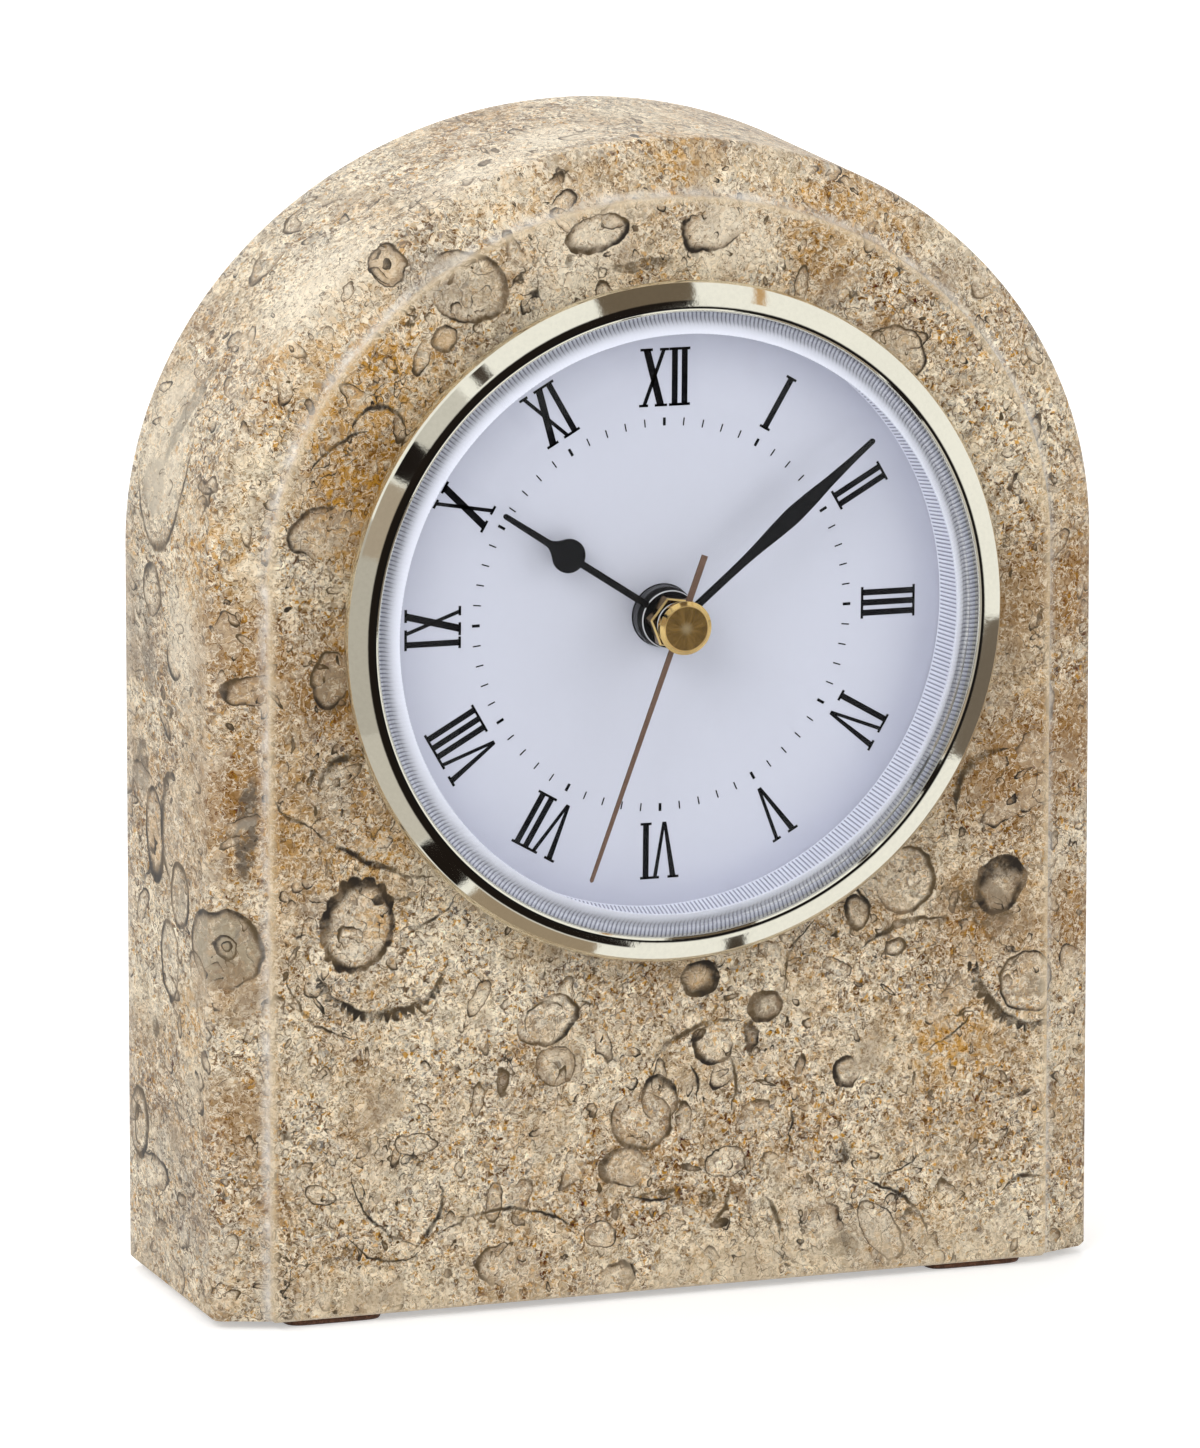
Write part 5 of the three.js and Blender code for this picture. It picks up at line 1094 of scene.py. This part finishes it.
def buildCell():
    # a profile of [radius, length, bare] carried round the cell's own axis: crimped ends, sleeve and nub
    low, high = boxOf("battery")
    centre, reach, edge = (low + high) / 2, (high[2] - low[2]) / 2, cell["edge"]
    first, shoulder = low[0], high[0] - cell["nubLength"]
    sleeveFirst, sleeveLast = first + cell["sleeveEnd"], shoulder - cell["sleeveEnd"]
    crimp, ease = reach - 0.12, cell["nubEase"]
    profile = np.concatenate([
        [[0, first + 0.1, 1], [reach * 0.55, first + 0.1, 1], [reach * 0.6, first, 1]],
        np.c_[arcOf((crimp - edge, first + edge), (edge, -edge), 90, 0, 6), np.ones(6)],
        [[crimp, sleeveFirst - 0.05, 1], [reach - 0.04, sleeveFirst - 0.04, 0], [reach, sleeveFirst + 0.05, 0]],
        np.c_[np.full(9, reach), np.linspace(sleeveFirst + 0.5, sleeveLast - 0.5, 9), np.zeros(9)],
        [[reach, sleeveLast - 0.05, 0], [reach - 0.04, sleeveLast + 0.04, 0], [crimp, sleeveLast + 0.05, 1]],
        np.c_[arcOf((crimp - edge, shoulder - edge), (edge, edge), 0, 90, 6), np.ones(6)],
        [[cell["nub"] + 0.5, shoulder - 0.1, 1], [cell["nub"] + 0.1, shoulder, 1], [cell["nub"], shoulder + 0.1, 1]],
        np.c_[arcOf((cell["nub"] - ease, high[0] - ease), (ease, ease), 0, 90, 5), np.ones(5)], [[0, high[0], 1]]])
    radius, length, bare = profile.T
    turn = turns(96)
    across, up = centre[1] + radius * np.cos(turn), centre[2] + radius * np.sin(turn)
    points = np.stack(np.broadcast_arrays(length, across, up), -1)
    newPiece("dry_cell", [(points, gridFaces(*points.shape[:2], True, False))], "clock_body", cellMaterial(),
             ["battery"], sharp=40, marks={"bare": np.broadcast_to(bare, across.shape)})


buildCell()
print("battery made")


# floor, lights and camera

# white to the camera; shiny faces see a pale room with walls and gaps, laid out round the main camera's line of sight
studio = {"world": 0.42, "floorSize": 4.0, "floor": (0.8, 0.8, 0.8, 1), "floorGlow": 0.42, "floorFar": (0.5, 1.8),
          "sight": (0.33, 0.922, -0.2035), "room": tint(246, 246, 244), "turnSoft": 1.2, "liftSoft": 3.0}
# walls and gaps: clock bearing and half width, lift from the side to straight ahead and half height, in degrees, and colour
walls = [
    (105, 12, 45, 50, tint(112, 102, 92)), (-152, 12, 36, 36, tint(156, 140, 120)), (-116, 10, 40, 40, tint(200, 196, 190)),
    (-87, 18, 40, 40, tint(184, 180, 174)), (-68, 6, 54, 22, tint(172, 160, 146)), (-57, 3, 56, 20, tint(28, 24, 22)),
    (-48, 5, 54, 20, tint(206, 204, 200)), (-38, 0.8, 52, 18, tint(70, 62, 56)), (-6, 8, 56, 40, tint(108, 96, 82)),
    (14.5, 0.4, 50, 22, tint(196, 160, 116)), (170, 1.2, 58, 20, tint(70, 62, 54)), (-132, 4.5, 60, 17, tint(30, 25, 22)),
    (-84, 86, 84, 7.5, tint(30, 25, 22)), (0, 180, 90, 2.5, tint(26, 24, 24)),
]


def straightRay(tree):
    # 1 for rays from the camera or through glass that no shiny face has turned
    rays = add(tree, "LightPath").outputs
    seen = calc(tree, "MAXIMUM", rays["Is Camera Ray"], rays["Is Transmission Ray"])
    return times(tree, calc(tree, "LESS_THAN", rays["Glossy Depth"], 0.5), seen)


def floorMaterial():
    # white to the camera and through glass, while it keeps the shadow; it glows more where the lamps no longer reach
    material, tree, shader = newMaterial("paleFloor", **{
        "Base Color": studio["floor"], "Roughness": 0.8, "Emission Color": (1, 1, 1, 1)})
    far = ramp(tree, vectorCalc(tree, "LENGTH", objectPlace(tree)), *studio["floorFar"])
    glow = calc(tree, "MULTIPLY_ADD", far, 1 - studio["floorGlow"], studio["floorGlow"])
    feed(tree, shader, {"Emission Strength": times(tree, straightRay(tree), glow)})
    return material


def buildFloor():
    half = studio["floorSize"]
    mesh = bpy.data.meshes.new("floor")
    mesh.from_pydata([(-half, -half, 0), (half, -half, 0), (half, half, 0), (-half, half, 0)], [], [[0, 1, 2, 3]])
    mesh.materials.append(floorMaterial())
    floor = bpy.data.objects.new("floor", mesh)
    scene.collection.objects.link(floor)
    floor.visible_glossy = False  # shiny faces see the world below it instead


def buildWorld():
    world = bpy.data.worlds.new("studio")
    scene.world = world
    world.use_nodes = True
    tree = world.node_tree
    rays = add(tree, "LightPath").outputs
    bounced = calc(tree, "MAXIMUM", rays["Is Glossy Ray"], rays["Is Transmission Ray"])
    shiny = times(tree, calc(tree, "GREATER_THAN", rays["Glossy Depth"], 0.5), bounced)
    # the way that a mirror faces to send the line of sight there: clock bearing, and lift from the side to straight ahead
    way = add(tree, "TexCoord").outputs["Generated"]
    mirror = vectorCalc(tree, "NORMALIZE", vectorCalc(tree, "SUBTRACT", way, studio["sight"]))
    axes = add(tree, "SeparateXYZ", {0: mirror}).outputs
    bearing = calc(tree, "DEGREES", calc(tree, "ARCTAN2", axes["X"], axes["Z"]))
    lift = calc(tree, "DEGREES", calc(tree, "ARCSINE", times(tree, axes["Y"], -1)))
    room = studio["room"]
    for turn, wide, level, tall, colour in walls:
        across = calc(tree, "ABSOLUTE", calc(tree, "SUBTRACT", bearing, turn))
        along = calc(tree, "ABSOLUTE", calc(tree, "SUBTRACT", lift, level))
        acrossShare = ramp(tree, across, wide + studio["turnSoft"], wide)
        alongShare = ramp(tree, along, tall + studio["liftSoft"], tall)
        room = mixed(tree, times(tree, acrossShare, alongShare), room, colour)
    glow = calc(tree, "MULTIPLY_ADD", straightRay(tree), 1 - studio["world"], studio["world"])
    feed(tree, tree.nodes["Background"], {
        "Color": mixed(tree, shiny, (1, 1, 1, 1), room), "Strength": calc(tree, "MAXIMUM", glow, shiny)})


# lamps: name, place, height of their aim, size and power
lamps = [
    ("keyLeft", (-0.9, -0.9, 0.9), 0.08, (0.8, 0.8), 9.6), ("fillRight", (1.0, -0.8, 0.5), 0.08, (0.7, 0.9), 4.8),
    ("topLeft", (-1.0, 0.0, 1.1), 0.1, (0.8, 0.8), 4.2), ("backTop", (0.2, 0.9, 1.0), 0.1, (0.9, 0.6), 7.2),
]


def addLamp(name, at, aim, size, power):
    data = bpy.data.lights.new(name, "AREA")
    data.shape = "RECTANGLE"
    data.size, data.size_y = size
    data.energy = power
    lamp = bpy.data.objects.new(name, data)
    lamp.location = at
    lamp.rotation_euler = (Vector((0, 0, aim)) - Vector(at)).to_track_quat("-Z", "Y").to_euler()
    lamp.visible_glossy = False
    lamp.visible_transmission = False
    scene.collection.objects.link(lamp)


camera = {"at": (-0.573487, -1.619070, 0.444013), "turn": 19.3865, "height": 12.1531, "roll": 0.015, "lens": 333.149}


def buildCamera():
    # its back, right and up axes from the turn and height, rolled a little
    data = bpy.data.cameras.new("camera")
    data.lens = camera["lens"]
    data.sensor_width = 36
    data.clip_start = 0.05
    view = bpy.data.objects.new("camera", data)
    turn, height, roll = (math.radians(camera[k]) for k in ("turn", "height", "roll"))
    back = Vector((-math.sin(turn) * math.cos(height), -math.cos(turn) * math.cos(height), math.sin(height)))
    right = Vector((math.cos(turn), -math.sin(turn), 0))
    up = back.cross(right)
    across = right * math.cos(roll) + up * math.sin(roll)
    upright = up * math.cos(roll) - right * math.sin(roll)
    view.matrix_world = Matrix.Translation(camera["at"]) @ Matrix((across, upright, back)).transposed().to_4x4()
    scene.collection.objects.link(view)
    scene.camera = view


buildFloor()
buildWorld()
for lamp in lamps:
    addLamp(*lamp)
buildCamera()
scene.view_settings.view_transform = "Standard"
print("stage, lights and camera made")
